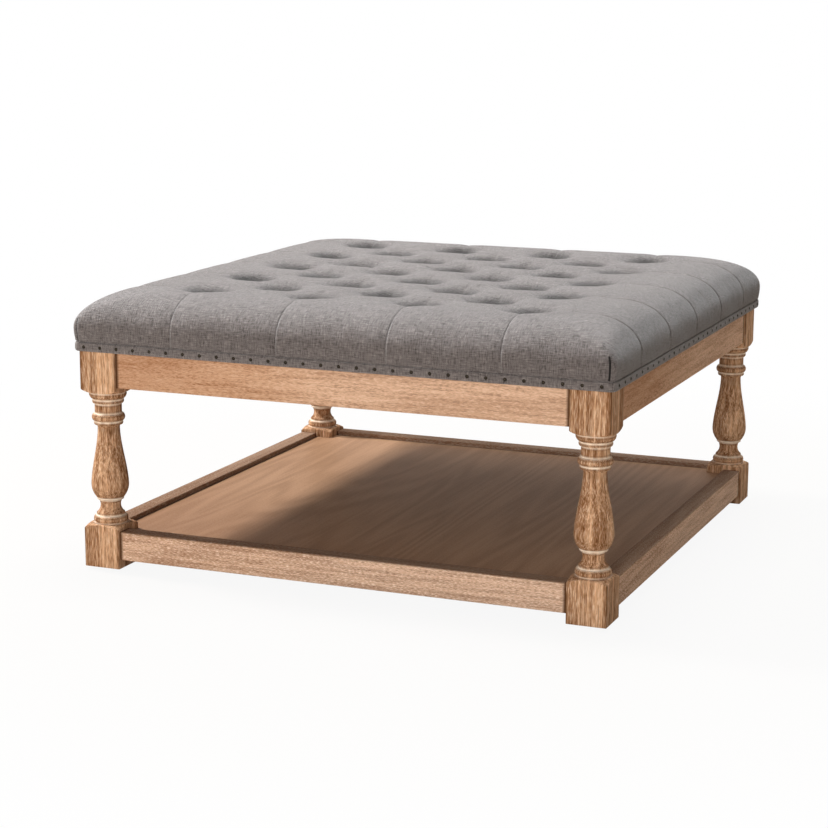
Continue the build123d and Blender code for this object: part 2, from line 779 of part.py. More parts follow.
# Sewn corner, a slit on the diagonal over the band
def dart_cut(turns, sections, inset):
    start_z, start_half, start_corner = sections[0]
    next_z, next_half, next_corner = sections[2]
    low = (start_half - start_corner) * sqrt(2) + start_corner - seam_depth
    high = (next_half - next_corner) * sqrt(2) + next_corner - seam_depth
    lean = (high - low) / (next_z - start_z)
    outside = (band_face + cushion_bulge) * sqrt(2)
    with BuildSketch(outward(turns - 0.5, 0)) as outline:
        with BuildLine():
            Polyline(
                (low - lean * overrun, start_z - overrun),
                (low + lean * dart_height, start_z + dart_height),
                (outside, start_z + dart_height),
                (outside, start_z - overrun),
                close=True,
            )
        make_face()
    extrude(outline.sketch, amount=seam_width / 2 + inset, both=True, mode=Mode.SUBTRACT)


def cushion_form(start_z, inset):
    sections = cushion_sections(start_z, inset)
    hollow = tuft_cutter(inset)
    with BuildPart() as form:
        for z, half, corner in sections:
            with BuildSketch(Plane.XY.offset(z)):
                RectangleRounded(2 * half, 2 * half, corner)
        loft(ruled=True)
        with Locations(*[(x, y, 0) for x, y in tuft_places]):
            add(hollow, mode=Mode.SUBTRACT)
        for turns in (0, 2):
            for x in wide_row_places:
                seam_cut(turns, x, tuft_row_places[-1], sections, inset)
        for turns in (1, 3):
            for x in tuft_row_places[::2]:
                seam_cut(turns, x, wide_row_places[-1], sections, inset)
        for turns in range(4):
            dart_cut(turns, sections, inset)
    return form.part


cushion = cushion_form(band_top_z, 0)
cavity = cushion_form(deck_top_z, cover_thickness)
foam = cushion_form(deck_top_z, cover_thickness + soft_gap)
with BuildPart() as cushion_cover:
    add(cushion)
    with BuildSketch(Plane.XY.offset(frame_top_z)):
        RectangleRounded(2 * cover_face, 2 * cover_face, cover_corner)
    extrude(amount=band_height)
    with BuildSketch(Plane.XY.offset(deck_z)):
        RectangleRounded(2 * deck_edge, 2 * deck_edge, deck_corner)
    extrude(amount=deck_thickness, mode=Mode.SUBTRACT)
    with BuildSketch(Plane.XY.offset(frame_top_z)):
        Rectangle(2 * (deck_edge - hem_width), 2 * (deck_edge - hem_width))
    extrude(amount=cover_thickness, mode=Mode.SUBTRACT)
    add(cavity, mode=Mode.SUBTRACT)
    for side_name, turns in side_turns:
        sink(nail_planes(turns), nail_radius + slip_gap, nail_length + slip_gap)
write(cushion_cover, "cushion_cover")

pit_z = cushion_top_z - tuft_depth - pit_drop - cover_thickness
with BuildPart() as foam_pad:
    add(foam)
    twine_seats = [Plane((x, y, deck_top_z), z_dir=(0, 0, 1)) for x, y in tuft_places]
    drill(twine_seats, twine_hole_radius, cushion_height)
write(foam_pad, "foam_pad")

# Tuft twines, each from its pit down to a knot under its anchor
with BuildPart() as tuft_twines:
    with Locations(*[(x, y, deck_z) for x, y in tuft_places]):
        Cylinder(twine_radius, pit_z - deck_z, align=standing)
        Cylinder(knot_radius, knot_height, align=standing)
write(tuft_twines, "tuft_twines")

with BuildPart() as tuft_anchors:
    with Locations(*[(x, y, deck_z + knot_height) for x, y in tuft_places]):
        Cylinder(anchor_radius, anchor_thickness, align=standing)
        Cylinder(twine_radius + slip_gap, anchor_thickness, align=standing, mode=Mode.SUBTRACT)
write(tuft_anchors, "tuft_anchors")

# Fabric band and its nails
with BuildPart() as band:
    with BuildSketch(Plane.XY.offset(frame_top_z)):
        RectangleRounded(2 * band_face, 2 * band_face, band_corner)
        RectangleRounded(2 * cover_face, 2 * cover_face, cover_corner, mode=Mode.SUBTRACT)
    extrude(amount=band_height)
    for side_name, turns in side_turns:
        sink(nail_planes(turns), nail_radius + slip_gap, nail_length + slip_gap)
write(band, "fabric_band")

with BuildPart() as nail:
    cap_radius = (nail_head_radius**2 + nail_head_height**2) / (2 * nail_head_height)
    cap_middle_z = nail_head_height - cap_radius + sqrt(cap_radius**2 - (nail_head_radius / 2) ** 2)
    with BuildSketch(Plane.XZ):
        with BuildLine():
            ThreePointArc((nail_head_radius, 0), (nail_head_radius / 2, cap_middle_z), (0, nail_head_height))
            Polyline((0, nail_head_height), (0, 0), (nail_head_radius, 0))
        make_face()
    revolve(axis=Axis.Z)
    Cylinder(nail_radius, nail_length, align=hanging)

for side_name, turns in side_turns:
    with BuildPart() as nail_row:
        with Locations(*nail_planes(turns)):
            add(nail.part)
    write(nail_row, "band_nails_" + side_name)
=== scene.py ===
import bpy
import random
from math import atan2, ceil, cos, exp, hypot, pi, radians, sin, sqrt
from mathutils import Matrix, Vector, noise


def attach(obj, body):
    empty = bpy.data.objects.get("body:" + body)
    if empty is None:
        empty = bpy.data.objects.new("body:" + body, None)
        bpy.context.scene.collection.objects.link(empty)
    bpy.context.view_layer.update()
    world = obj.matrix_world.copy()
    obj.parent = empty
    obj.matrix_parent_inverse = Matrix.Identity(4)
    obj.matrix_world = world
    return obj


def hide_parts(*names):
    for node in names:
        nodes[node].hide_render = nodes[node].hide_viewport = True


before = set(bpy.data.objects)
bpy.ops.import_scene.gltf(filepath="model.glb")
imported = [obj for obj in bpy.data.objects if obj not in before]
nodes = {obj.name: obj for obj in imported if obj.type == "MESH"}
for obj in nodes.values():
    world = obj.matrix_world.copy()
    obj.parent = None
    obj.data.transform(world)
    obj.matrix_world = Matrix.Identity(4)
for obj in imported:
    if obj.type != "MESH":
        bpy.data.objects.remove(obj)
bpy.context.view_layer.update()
mm = 0.001
corners = {"back_right": 0, "back_left": 1, "front_left": 2, "front_right": 3}     # quarter turns
print("frame loaded:", len(nodes), "nodes")


# working with operators

def toMode(mode):
    bpy.ops.object.mode_set(mode=mode)


def choose(action="SELECT"):
    bpy.ops.mesh.select_all(action=action)


def deselectAll():
    if bpy.context.object and bpy.context.object.mode != "OBJECT":
        toMode("OBJECT")
    bpy.ops.object.select_all(action="DESELECT")


def pick(obj):
    deselectAll()
    obj.select_set(True)
    bpy.context.view_layer.objects.active = obj


def named(name):
    obj = bpy.context.object
    obj.name = name
    obj.data.name = name
    return obj


def settle(obj):
    pick(obj)
    bpy.ops.object.transform_apply(location=True, rotation=True, scale=True)


def editAll():
    toMode("EDIT")
    choose()


def closeMesh(weld=0):
    choose()
    if weld:
        bpy.ops.mesh.remove_doubles(threshold=weld)
    bpy.ops.mesh.normals_make_consistent(inside=False)
    toMode("OBJECT")


def useModifier(obj, kind, **settings):
    pick(obj)
    modifier = obj.modifiers.new(kind.lower(), kind)
    for key, value in settings.items():
        setattr(modifier, key, value)
    bpy.ops.object.modifier_apply(modifier=modifier.name)


def joined(objs, name):
    pick(objs[0])
    for obj in objs[1:]:
        obj.select_set(True)
    bpy.ops.object.join()
    return named(name)


def copied(obj, name, matrix):
    copy = obj.copy()
    copy.data = obj.data.copy()
    copy.name = copy.data.name = name
    bpy.context.scene.collection.objects.link(copy)
    copy.data.transform(matrix)
    return copy


def smoothed(obj, degrees):
    pick(obj)
    bpy.ops.object.shade_smooth_by_angle(angle=radians(degrees))


def pointMasks(mesh, *names):
    # fetched only when all are made, because making one can move the others
    for name in names:
        mesh.attributes.new(name, "FLOAT", "POINT")
    return [mesh.attributes[name].data for name in names]


def paint(obj, material):
    obj.data.materials.clear()
    obj.data.materials.append(material)


def ease(x, low, high):
    t = min(max((x - low) / (high - low), 0), 1)
    return t * t * (3 - 2 * t)


def blendOf(a, b, share):
    return a + (b - a) * share


# shader nodes

def setInputs(tree, node, inputs):
    for key, value in inputs.items():
        if isinstance(value, bpy.types.NodeSocket):
            tree.links.new(value, node.inputs[key])
        else:
            node.inputs[key].default_value = value
    return node


def addNode(tree, kind, inputs=None, **settings):
    made = tree.nodes.new("ShaderNode" + kind)
    for key, value in settings.items():
        setattr(made, key, value)
    return setInputs(tree, made, inputs or {})


def maths(tree, operation, *values):
    return addNode(tree, "Math", dict(enumerate(values)), operation=operation).outputs[0]


def times(tree, a, b):
    return maths(tree, "MULTIPLY", a, b)


def plus(tree, a, b):
    return maths(tree, "ADD", a, b)


# How far a 0 to 1 value is from its middle, times a factor
def swing(tree, value, factor):
    return times(tree, maths(tree, "SUBTRACT", value, 0.5), factor)


def stretched(tree, vector, scale):
    return addNode(tree, "VectorMath", {0: vector, 1: scale}, operation="MULTIPLY").outputs[0]


def cloudy(tree, vector, scale, detail=4, roughness=0.55, distortion=0.0):
    inputs = {"Vector": vector, "Scale": scale, "Detail": detail, "Roughness": roughness, "Distortion": distortion}
    return addNode(tree, "TexNoise", inputs).outputs[0]


def spread(tree, value, low, high, toLow=0.0, toHigh=1.0):
    inputs = {0: value, 1: low, 2: high, 3: toLow, 4: toHigh}
    return addNode(tree, "MapRange", inputs, interpolation_type="SMOOTHSTEP").outputs[0]


def objectPlace(tree):
    return addNode(tree, "TexCoord").outputs["Object"]


def maskOf(tree, name):
    return addNode(tree, "Attribute", attribute_name=name).outputs["Fac"]


def mixed(tree, share, a, b):
    return addNode(tree, "Mix", {0: share, 6: a, 7: b}, data_type="RGBA").outputs[2]


def newMaterial(name, **values):
    material = bpy.data.materials.new(name)
    material.use_nodes = True
    shader = material.node_tree.nodes["Principled BSDF"]
    for key, value in values.items():
        shader.inputs[key.replace("_", " ")].default_value = value
    return material, material.node_tree, shader


# camera, floor and light

view = {
    "lens": 91.22, "azimuth": 22.27, "elevation": 11.594, "roll": 0.169,
    "distance": 3.6538, "target": (-0.0462, 0, 0.2068), "sensor": 36, "clipEnd": 100,
}


def makeCamera():
    azimuth, elevation, roll = (radians(view[key]) for key in ("azimuth", "elevation", "roll"))
    back = Vector((sin(azimuth) * cos(elevation), -cos(azimuth) * cos(elevation), sin(elevation)))
    right = Vector((0, 0, 1)).cross(back).normalized()
    up = back.cross(right)
    rolledRight = right * cos(roll) + up * sin(roll)
    rolledUp = up * cos(roll) - right * sin(roll)
    bpy.ops.object.camera_add(location=Vector(view["target"]) + back * view["distance"])
    camera = bpy.context.object
    camera.name = "photoCamera"
    camera.data.lens = view["lens"]
    camera.data.sensor_width = view["sensor"]
    camera.data.clip_end = view["clipEnd"]
    camera.rotation_euler = Matrix((rolledRight, rolledUp, back)).transposed().to_euler()
    bpy.context.scene.camera = camera


studio = {
    "floorSize": 700, "floorColour": (0.42, 0.365, 0.315), "floorShow": 0.92,
    "shadowReach": (0.7, 1.7), "paperRoughness": 0.9, "paperSpecular": 0.1,
    "air": (1, 0.91, 0.82), "worldStrength": 0.188,
    "lamps": {
        "leftKey": {"place": (-3.2, 0, 3.3), "aim": (0, 0, 0.15), "size": 0.7, "watts": 222},
        "frontFill": {"place": (0.6, -4.2, 0.9), "aim": (0, 0, 0.25), "size": 2.4, "watts": 73},
        "leftFill": {"place": (-3.1, -2.9, 1.0), "aim": (0, 0, 0.25), "size": 2.0, "watts": 34},
        "backSoftbox": {"place": (-0.3, 2.4, 3.4), "aim": (0, 0, 0.3), "size": 2.2, "watts": 28},
        "overhead": {"place": (0, 0.4, 4.4), "aim": (0, 0, 0.3), "size": 2.4, "watts": 232,
                     "colour": (0.86, 0.95, 1)},
    },
}


# The camera and reflections see white, and the share of it lets the floor keep a shadow near the object
def shownWhite(tree, plain, white, share, output):
    rays = addNode(tree, "LightPath").outputs
    seen = times(tree, maths(tree, "MAXIMUM", rays["Is Camera Ray"], rays["Is Glossy Ray"]), share)
    mix = addNode(tree, "MixShader", {0: seen, 1: plain.outputs[0], 2: white.outputs[0]})
    tree.links.new(mix.outputs[0], output.inputs["Surface"])


def makeStudio():
    bpy.context.scene.view_settings.view_transform = "Standard"
    deselectAll()
    bpy.ops.mesh.primitive_plane_add(size=studio["floorSize"])
    floor = named("studioFloor")
    paper, tree, shader = newMaterial("studioPaper", Roughness=studio["paperRoughness"],
                                      Specular_IOR_Level=studio["paperSpecular"])
    shader.inputs["Base Color"].default_value = (*studio["floorColour"], 1)
    glow = addNode(tree, "Emission", {"Color": (1, 1, 1, 1)})
    away = addNode(tree, "VectorMath", {0: objectPlace(tree)}, operation="LENGTH")
    share = spread(tree, away.outputs["Value"], *studio["shadowReach"], studio["floorShow"], 1)
    shownWhite(tree, shader, glow, share, tree.nodes["Material Output"])
    paint(floor, paper)

    world = bpy.data.worlds.new("studioAir")
    bpy.context.scene.world = world
    world.use_nodes = True
    tree = world.node_tree
    fill = setInputs(tree, tree.nodes["Background"],
                     {"Color": (*studio["air"], 1), "Strength": studio["worldStrength"]})
    white = addNode(tree, "Background", {"Color": (1, 1, 1, 1)})
    shownWhite(tree, fill, white, 1, tree.nodes["World Output"])

    for name, lamp in studio["lamps"].items():
        place = Vector(lamp["place"])
        bpy.ops.object.light_add(type="AREA", location=place)
        light = bpy.context.object
        light.name = name
        light.data.shape = "DISK"
        light.data.size = lamp["size"]
        light.data.energy = lamp["watts"]
        light.data.color = lamp.get("colour", (1, 1, 1))
        light.rotation_euler = (Vector(lamp["aim"]) - place).to_track_quat("-Z", "Y").to_euler()


makeCamera()
makeStudio()
print("camera and studio set")


def newGroup(name, inputs, outputs):
    group = bpy.data.node_groups.new(name, "ShaderNodeTree")
    for socketName, kind in inputs:
        group.interface.new_socket(name=socketName, in_out="INPUT", socket_type="NodeSocket" + kind)
    for socketName, kind in outputs:
        group.interface.new_socket(name=socketName, in_out="OUTPUT", socket_type="NodeSocket" + kind)
    return group, group.nodes.new("NodeGroupInput").outputs, group.nodes.new("NodeGroupOutput")


# Waves in a metre along and across the grain, shares of each in the tone, and where pores and lime begin
grain = {
    "broad": (1.6, 14, 14), "arches": (0.8, 7.5, 7.5), "rings": 95, "ringDepth": 0.06, "streaks": (9, 190, 190),
    "flecks": (170, 950, 950), "broadShare": 0.45, "streakShare": 0.55, "toneSpread": 0.17,
    "poreEdge": (0.5, 0.37), "limeEdge": (0.5, 0.66), "poreStreaks": (0.62, 0.38, 0.3, 1),
    "limeStreaks": (0.35, 0.6, 0.35, 1), "roughness": (0.3, 0.7, 0.82, 0.66), "fleckHeight": 0.6,
}


# Grain along X: broad figure, cathedral lines, streaks, and short flecks that hold lime or stain
def makeGrainGroup():
    group, given, result = newGroup(
        "limedGrain",
        [("Vector", "Vector"), ("Light", "Color"), ("Dark", "Color"), ("Pore", "Color"), ("Lime", "Color"),
         ("Figure", "Float"), ("Pore Amount", "Float"), ("Lime Amount", "Float"), ("Contrast", "Float")],
        [("Color", "Color"), ("Roughness", "Float"), ("Height", "Float")],
    )
    place = given["Vector"]
    g = grain
    broad = cloudy(group, stretched(group, place, g["broad"]), 1, 3, 0.5, 0.3)
    arches = cloudy(group, stretched(group, place, g["arches"]), 1, 1.5, 0.4, 0.25)
    rings = maths(group, "SINE", times(group, arches, g["rings"]))
    streaks = cloudy(group, stretched(group, place, g["streaks"]), 1, 4, 0.62)
    flecks = cloudy(group, stretched(group, place, g["flecks"]), 1, 2, 0.6)
    ringed = times(group, times(group, rings, g["ringDepth"]), given["Figure"])
    tone = plus(group, times(group, broad, g["broadShare"]), times(group, streaks, g["streakShare"]))
    tone = times(group, maths(group, "SUBTRACT", plus(group, tone, ringed), 0.5),
                 given["Contrast"])
    colour = mixed(group, spread(group, tone, -g["toneSpread"], g["toneSpread"]), given["Dark"], given["Light"])
    pores = times(group, spread(group, flecks, *g["poreEdge"]), spread(group, streaks, *g["poreStreaks"]))
    colour = mixed(group, times(group, pores, given["Pore Amount"]), colour, given["Pore"])
    limed = times(group, spread(group, flecks, *g["limeEdge"]), spread(group, streaks, *g["limeStreaks"]))
    colour = mixed(group, times(group, limed, given["Lime Amount"]), colour, given["Lime"])
    roughness = spread(group, flecks, *g["roughness"])
    height = plus(group, times(group, flecks, g["fleckHeight"]), times(group, streaks, 1 - g["fleckHeight"]))
    setInputs(group, result, {"Color": colour, "Roughness": roughness, "Height": height})
    return group


# Waves in a metre of each layer of the cloth, and shares of each in its tone
weave = {
    "wobble": 60, "wobbleReach": 0.0016, "warp": (700, 70, 1), "weft": (66, 760, 1), "soft": 9, "nubs": 300,
    "crossingShare": 0.25, "ridgeShare": 0.5, "slubShare": 0.35, "weaveShare": 0.3, "softShare": 0.16,
    "nubShare": 0.42, "deepTo": (-0.25, 0.22), "brightFrom": (0.22, 0.62), "slubHeight": 0.8,
    "slubEdge": (0.3, 0.75), "slubMiddle": 0.8,
}


# Plain weave with thick and thin threads, on a map in metres
def makeWeaveGroup():
    group, given, result = newGroup(
        "slubWeave",
        [("Vector", "Vector"), ("Base", "Color"), ("Bright", "Color"), ("Deep", "Color"),
         ("Threads", "Float"), ("Slubs", "Float")],
        [("Color", "Color"), ("Height", "Float")],
    )
    w = weave
    shift = swing(group, cloudy(group, given["Vector"], w["wobble"], 2), w["wobbleReach"])
    place = addNode(group, "SeparateXYZ", {0: given["Vector"]}).outputs
    waves = []
    for n in (0, 1):
        way = times(group, plus(group, place[n], shift), given["Threads"])
        waves.append(maths(group, "SINE", times(group, way, pi)))
    crossing = times(group, *waves)
    ridges = maths(group, "MAXIMUM", *(maths(group, "ABSOLUTE", wave) for wave in waves))
    woven = plus(group, times(group, crossing, w["crossingShare"]), times(group, ridges, w["ridgeShare"]))
    warp = cloudy(group, stretched(group, given["Vector"], w["warp"]), 1, 2, 0.6)
    weft = cloudy(group, stretched(group, given["Vector"], w["weft"]), 1, 2, 0.6)
    slubs = plus(group, spread(group, warp, *w["slubEdge"]), spread(group, weft, *w["slubEdge"]))
    slubs = times(group, maths(group, "SUBTRACT", slubs, w["slubMiddle"]), given["Slubs"])
    soft = cloudy(group, given["Vector"], w["soft"], 3)
    nubs = cloudy(group, given["Vector"], w["nubs"], 1.5, 0.6)
    tone = plus(group, times(group, slubs, w["slubShare"]), times(group, woven, w["weaveShare"]))
    tone = plus(group, tone, swing(group, soft, w["softShare"]))
    tone = plus(group, tone, swing(group, nubs, w["nubShare"]))
    colour = mixed(group, spread(group, tone, *w["deepTo"]), given["Deep"], given["Base"])
    colour = mixed(group, spread(group, tone, *w["brightFrom"]), colour, given["Bright"])
    height = plus(group, woven, times(group, slubs, w["slubHeight"]))
    setInputs(group, result, {"Color": colour, "Height": height})
    return group


grainGroup = makeGrainGroup()
weaveGroup = makeWeaveGroup()


def bumped(tree, shader, height, strength, distance):
    bump = addNode(tree, "Bump", {"Height": height, "Strength": strength, "Distance": distance})
    tree.links.new(bump.outputs[0], shader.inputs["Normal"])


woods = {
    "apronLimed": {
        "Light": (0.70, 0.42, 0.26, 1), "Dark": (0.50, 0.265, 0.145, 1), "Pore": (0.27, 0.125, 0.06, 1),
        "Lime": (0.87, 0.63, 0.46, 1), "Figure": 0.9, "Pore Amount": 0.85, "Lime Amount": 0.6, "Contrast": 1.5,
    },
    "railLimed": {
        "Light": (0.71, 0.455, 0.305, 1), "Dark": (0.47, 0.275, 0.175, 1), "Pore": (0.27, 0.135, 0.07, 1),
        "Lime": (0.94, 0.74, 0.59, 1), "Figure": 0.7, "Pore Amount": 0.9, "Lime Amount": 1.0, "Contrast": 1.6,
    },
    "legLimed": {
        "Light": (0.73, 0.425, 0.24, 1), "Dark": (0.30, 0.137, 0.060, 1), "Pore": (0.115, 0.043, 0.014, 1),
        "Lime": (0.94, 0.71, 0.51, 1), "Figure": 0.3, "Pore Amount": 0.8, "Lime Amount": 0.7, "Contrast": 1.5,
    },
    "panelBrown": {
        "Light": (0.47, 0.27, 0.155, 1), "Dark": (0.355, 0.195, 0.105, 1), "Pore": (0.24, 0.12, 0.06, 1),
        "Lime": (0.56, 0.36, 0.23, 1), "Figure": 2.2, "Pore Amount": 0.3, "Lime Amount": 0.25, "Contrast": 0.6,
    },
    "sawnPine": {
        "Light": (0.74, 0.55, 0.34, 1), "Dark": (0.62, 0.42, 0.24, 1), "Pore": (0.50, 0.32, 0.18, 1),
        "Lime": (0.80, 0.64, 0.44, 1), "Figure": 1.6, "Pore Amount": 0.2, "Lime Amount": 0.2, "Contrast": 0.8,
    },
}


finish = {
    "matt": 0.06, "panelSpecular": 0.16, "panelSmoother": 0.8, "woodBump": (0.35, 0.0006), "legFiner": (0.4, 1, 1),
    "glaze": (0.10, 0.044, 0.019, 1), "brown": (0.36, 0.155, 0.068, 1), "pale": (0.88, 0.69, 0.56, 1),
    # the next line also sets the painted shade on the shelf rails' inner faces
    "joint": (0.3735, 0.3795), "innerFaceShade": (0.4145, 0.4125, 0, 0.6), "railTop": (0.0650, 0.0668, 0, 0.62),
    "onlyBelow": (0.10, 0.09), "drift": 0.3, "brownTo": (-0.22, 0.22), "paleFrom": (-0.1, 0.3),
    "legGlaze": (0.13, 0.058, 0.022, 1), "legLime": (1, 0.87, 0.72, 1),
    # painted shade along the panel's edges, in the groove where it meets the rails
    "panelEdgeShade": (0.405, 0.4115, 0, 0.9), "panelEdgeShadeColour": (0.05, 0.024, 0.012, 1),
    "panelBrownTo": (-0.6, -0.15, 0.4, 0), "panelBrown": (0.25, 0.11, 0.05, 1), "panelSlant": 0.6,
}


def woodMaterial(name, wood, axis, finer=(1, 1, 1)):
    material, tree, shader = newMaterial(name, Specular_IOR_Level=finish["matt"])
    place = objectPlace(tree)
    split = addNode(tree, "SeparateXYZ", {0: place}).outputs
    order = {"x": (0, 1, 2), "y": (1, 0, 2), "z": (2, 0, 1)}[axis]
    turned = addNode(tree, "CombineXYZ", {n: split[order[n]] for n in range(3)}).outputs[0]
    turned = stretched(tree, turned, finer)
    out = addNode(tree, "Group", {"Vector": turned, **woods[wood]}, node_tree=grainGroup).outputs
    setInputs(tree, shader, {"Base Color": out["Color"], "Roughness": out["Roughness"]})
    bumped(tree, shader, out["Height"], *finish["woodBump"])
    return material, tree, shader, split, out


def coloured(tree, shader, mask, colour, source):
    tree.links.new(mixed(tree, mask, source, colour), shader.inputs["Base Color"])


# Dark glaze is left at the joints; the inner faces of the shelf rails get painted shade, and their tops are
# darker. One end of a rail is browner and the other paler
def railMaterial(name, wood, axis, brown, pale):
    f = finish
    material, tree, shader, split, out = woodMaterial(name, wood, axis)
    along, across = (0, 1) if axis == "x" else (1, 0)
    ends = spread(tree, maths(tree, "ABSOLUTE", split[along]), *f["joint"])
    # painted shade on the inner faces of the shelf rails, and a darker band along their tops, both in the glaze
    # colour
    inner = spread(tree, maths(tree, "ABSOLUTE", split[across]), *f["innerFaceShade"])
    top = times(tree, spread(tree, split[2], *f["railTop"]), spread(tree, split[2], *f["onlyBelow"]))
    glazeAndShade = maths(tree, "MAXIMUM", maths(tree, "MAXIMUM", ends, inner), top)
    cloud = cloudy(tree, objectPlace(tree), 5, 2)
    drift = plus(tree, split[along], times(tree, cloud, f["drift"]))
    colour = mixed(tree, spread(tree, drift, *f["brownTo"], brown, 0), out["Color"], f["brown"])
    colour = mixed(tree, spread(tree, drift, *f["paleFrom"], 0, pale), colour, f["pale"])
    coloured(tree, shader, glazeAndShade, f["glaze"], colour)
    return material


def legMaterial():
    material, tree, shader, split, out = woodMaterial("legLimedOak", "legLimed", "z", finish["legFiner"])
    lime = maskOf(tree, "lime")
    glaze = maskOf(tree, "glaze")
    colour = mixed(tree, glaze, out["Color"], finish["legGlaze"])
    coloured(tree, shader, lime, finish["legLime"], colour)
    return material


def panelMaterial():
    f = finish
    material, tree, shader, split, out = woodMaterial("panelBrownOak", "panelBrown", "y")
    shader.inputs["Specular IOR Level"].default_value = f["panelSpecular"]
    tree.links.new(times(tree, out["Roughness"], f["panelSmoother"]), shader.inputs["Roughness"])
    # painted shade along the panel's edges, where it meets the rails
    edge = maths(tree, "MAXIMUM", maths(tree, "ABSOLUTE", split[0]), maths(tree, "ABSOLUTE", split[1]))
    drift = plus(tree, times(tree, split[0], f["panelSlant"]), split[1])
    colour = mixed(tree, spread(tree, drift, *f["panelBrownTo"]), out["Color"], f["panelBrown"])
    coloured(tree, shader, spread(tree, edge, *f["panelEdgeShade"]), f["panelEdgeShadeColour"], colour)
    return material


cloth = {
    "Base": (0.184, 0.158, 0.150, 1), "Bright": (0.34, 0.298, 0.281, 1), "Deep": (0.060, 0.050, 0.047, 1),
    "Threads": 640.0, "Slubs": 1.2,
}
bandShade = {"Base": (0.205, 0.176, 0.166, 1), "Bright": (0.36, 0.32, 0.30, 1)}
clothFinish = {
    "surface": {"Roughness": 0.92, "Specular_IOR_Level": 0.06, "Sheen_Weight": 0.4, "Sheen_Roughness": 0.45},
    # the crease colour: painted shade in the seams, corner slits and tuft hollows
    "bump": (0.7, 0.001), "creaseShade": (0.012, 0.010, 0.009, 1), "seamShade": (0.5, 0.95, 0, 0.26), "slitBump": 2.5,
}
# the sewn corner pleats: metres from the corner, edge of the slit, its top, and where it is allowed
pleat = {"shift": 0.008, "slit": (0.0026, 0.0012), "top": (0.417, 0.414), "outside": (0.40, 0.41)}


# With the seams and sewn corners of the cover drawn in where sewn is set, and painted shade in the seams, corner
# slits and tuft hollows
def clothMaterial(name, sewn):
    c = clothFinish
    material, tree, shader = newMaterial(name, **c["surface"])
    place = addNode(tree, "UVMap", uv_map="clothMap").outputs[0]
    shades = {"Vector": place, **cloth, **({} if sewn else bandShade)}
    out = addNode(tree, "Group", shades, node_tree=weaveGroup).outputs
    if not sewn:
        tree.links.new(out["Color"], shader.inputs["Base Color"])
        bumped(tree, shader, out["Height"], *c["bump"])
        return material
    split = addNode(tree, "SeparateXYZ", {0: objectPlace(tree)}).outputs
    reachX, reachY = (maths(tree, "ABSOLUTE", split[n]) for n in (0, 1))
    offset = plus(tree, maths(tree, "SUBTRACT", reachX, reachY), pleat["shift"])
    # the slit at each sewn corner, cut in by bump and darkened with painted shade
    slit = spread(tree, maths(tree, "ABSOLUTE", offset), *pleat["slit"])
    slit = times(tree, slit, spread(tree, split[2], *pleat["top"]))
    slit = times(tree, slit, spread(tree, maths(tree, "MINIMUM", reachX, reachY), *pleat["outside"]))
    seamShade = maskOf(tree, "seamShade")
    hollow = maskOf(tree, "hollow")
    # painted shade in the corner slits, along the seam grooves and in the tuft hollows
    creaseShade = maths(tree, "MAXIMUM", slit, spread(tree, seamShade, *c["seamShade"]))
    coloured(tree, shader, maths(tree, "MAXIMUM", creaseShade, hollow), c["creaseShade"], out["Color"])
    height = maths(tree, "SUBTRACT", out["Height"], times(tree, slit, c["slitBump"]))
    bumped(tree, shader, height, *c["bump"])
    return material


def plainMaterial(name, colour, roughness, metallic=0.0, rough=0.12, size=60, depth=0.0003):
    material, tree, shader = newMaterial(name, Metallic=metallic)
    place = objectPlace(tree)
    cloud = cloudy(tree, place, size, 5, 0.6)
    dark = tuple(c * 0.72 for c in colour) + (1,)
    light = tuple(min(c * 1.18, 1) for c in colour) + (1,)
    tree.links.new(mixed(tree, spread(tree, cloud, 0.3, 0.7), dark, light), shader.inputs["Base Color"])
    tree.links.new(spread(tree, cloud, 0.3, 0.7, roughness + rough, roughness - rough), shader.inputs["Roughness"])
    bumped(tree, shader, cloudy(tree, place, size * 14, 3, 0.6), 0.3, depth)
    return material


apronX = railMaterial("apronLimedOakX", "apronLimed", "x", 0.42, 0.16)
apronY = railMaterial("apronLimedOakY", "apronLimed", "y", 0.42, 0.16)
railX = railMaterial("railLimedOakX", "railLimed", "x", 0.08, 0.1)
railY = railMaterial("railLimedOakY", "railLimed", "y", 0.08, 0.1)
legOak = legMaterial()
panelOak = panelMaterial()
pineX = woodMaterial("sawnPineX", "sawnPine", "x")[0]
pineY = woodMaterial("sawnPineY", "sawnPine", "y")[0]
coverCloth = clothMaterial("greySlubCoverCloth", True)
bandCloth = clothMaterial("greySlubBandCloth", False)
agedBrass = plainMaterial("agedNailBrass", (0.032, 0.025, 0.018), 0.3, 1.0, 0.1, 400)
zincSteel = plainMaterial("zincSteel", (0.56, 0.56, 0.55), 0.36, 1.0, 0.1, 250)
blackNylon = plainMaterial("blackNylon", (0.02, 0.02, 0.021), 0.5)
blackCambric = plainMaterial("blackCambric", (0.022, 0.022, 0.024), 0.85, 0.0, 0.05, 500, 0.0006)
foamCream = plainMaterial("foamCream", (0.72, 0.66, 0.48), 0.9, 0.0, 0.05, 900, 0.0008)
twineWax = plainMaterial("waxedTwine", (0.62, 0.56, 0.44), 0.7, 0.0, 0.1, 900)

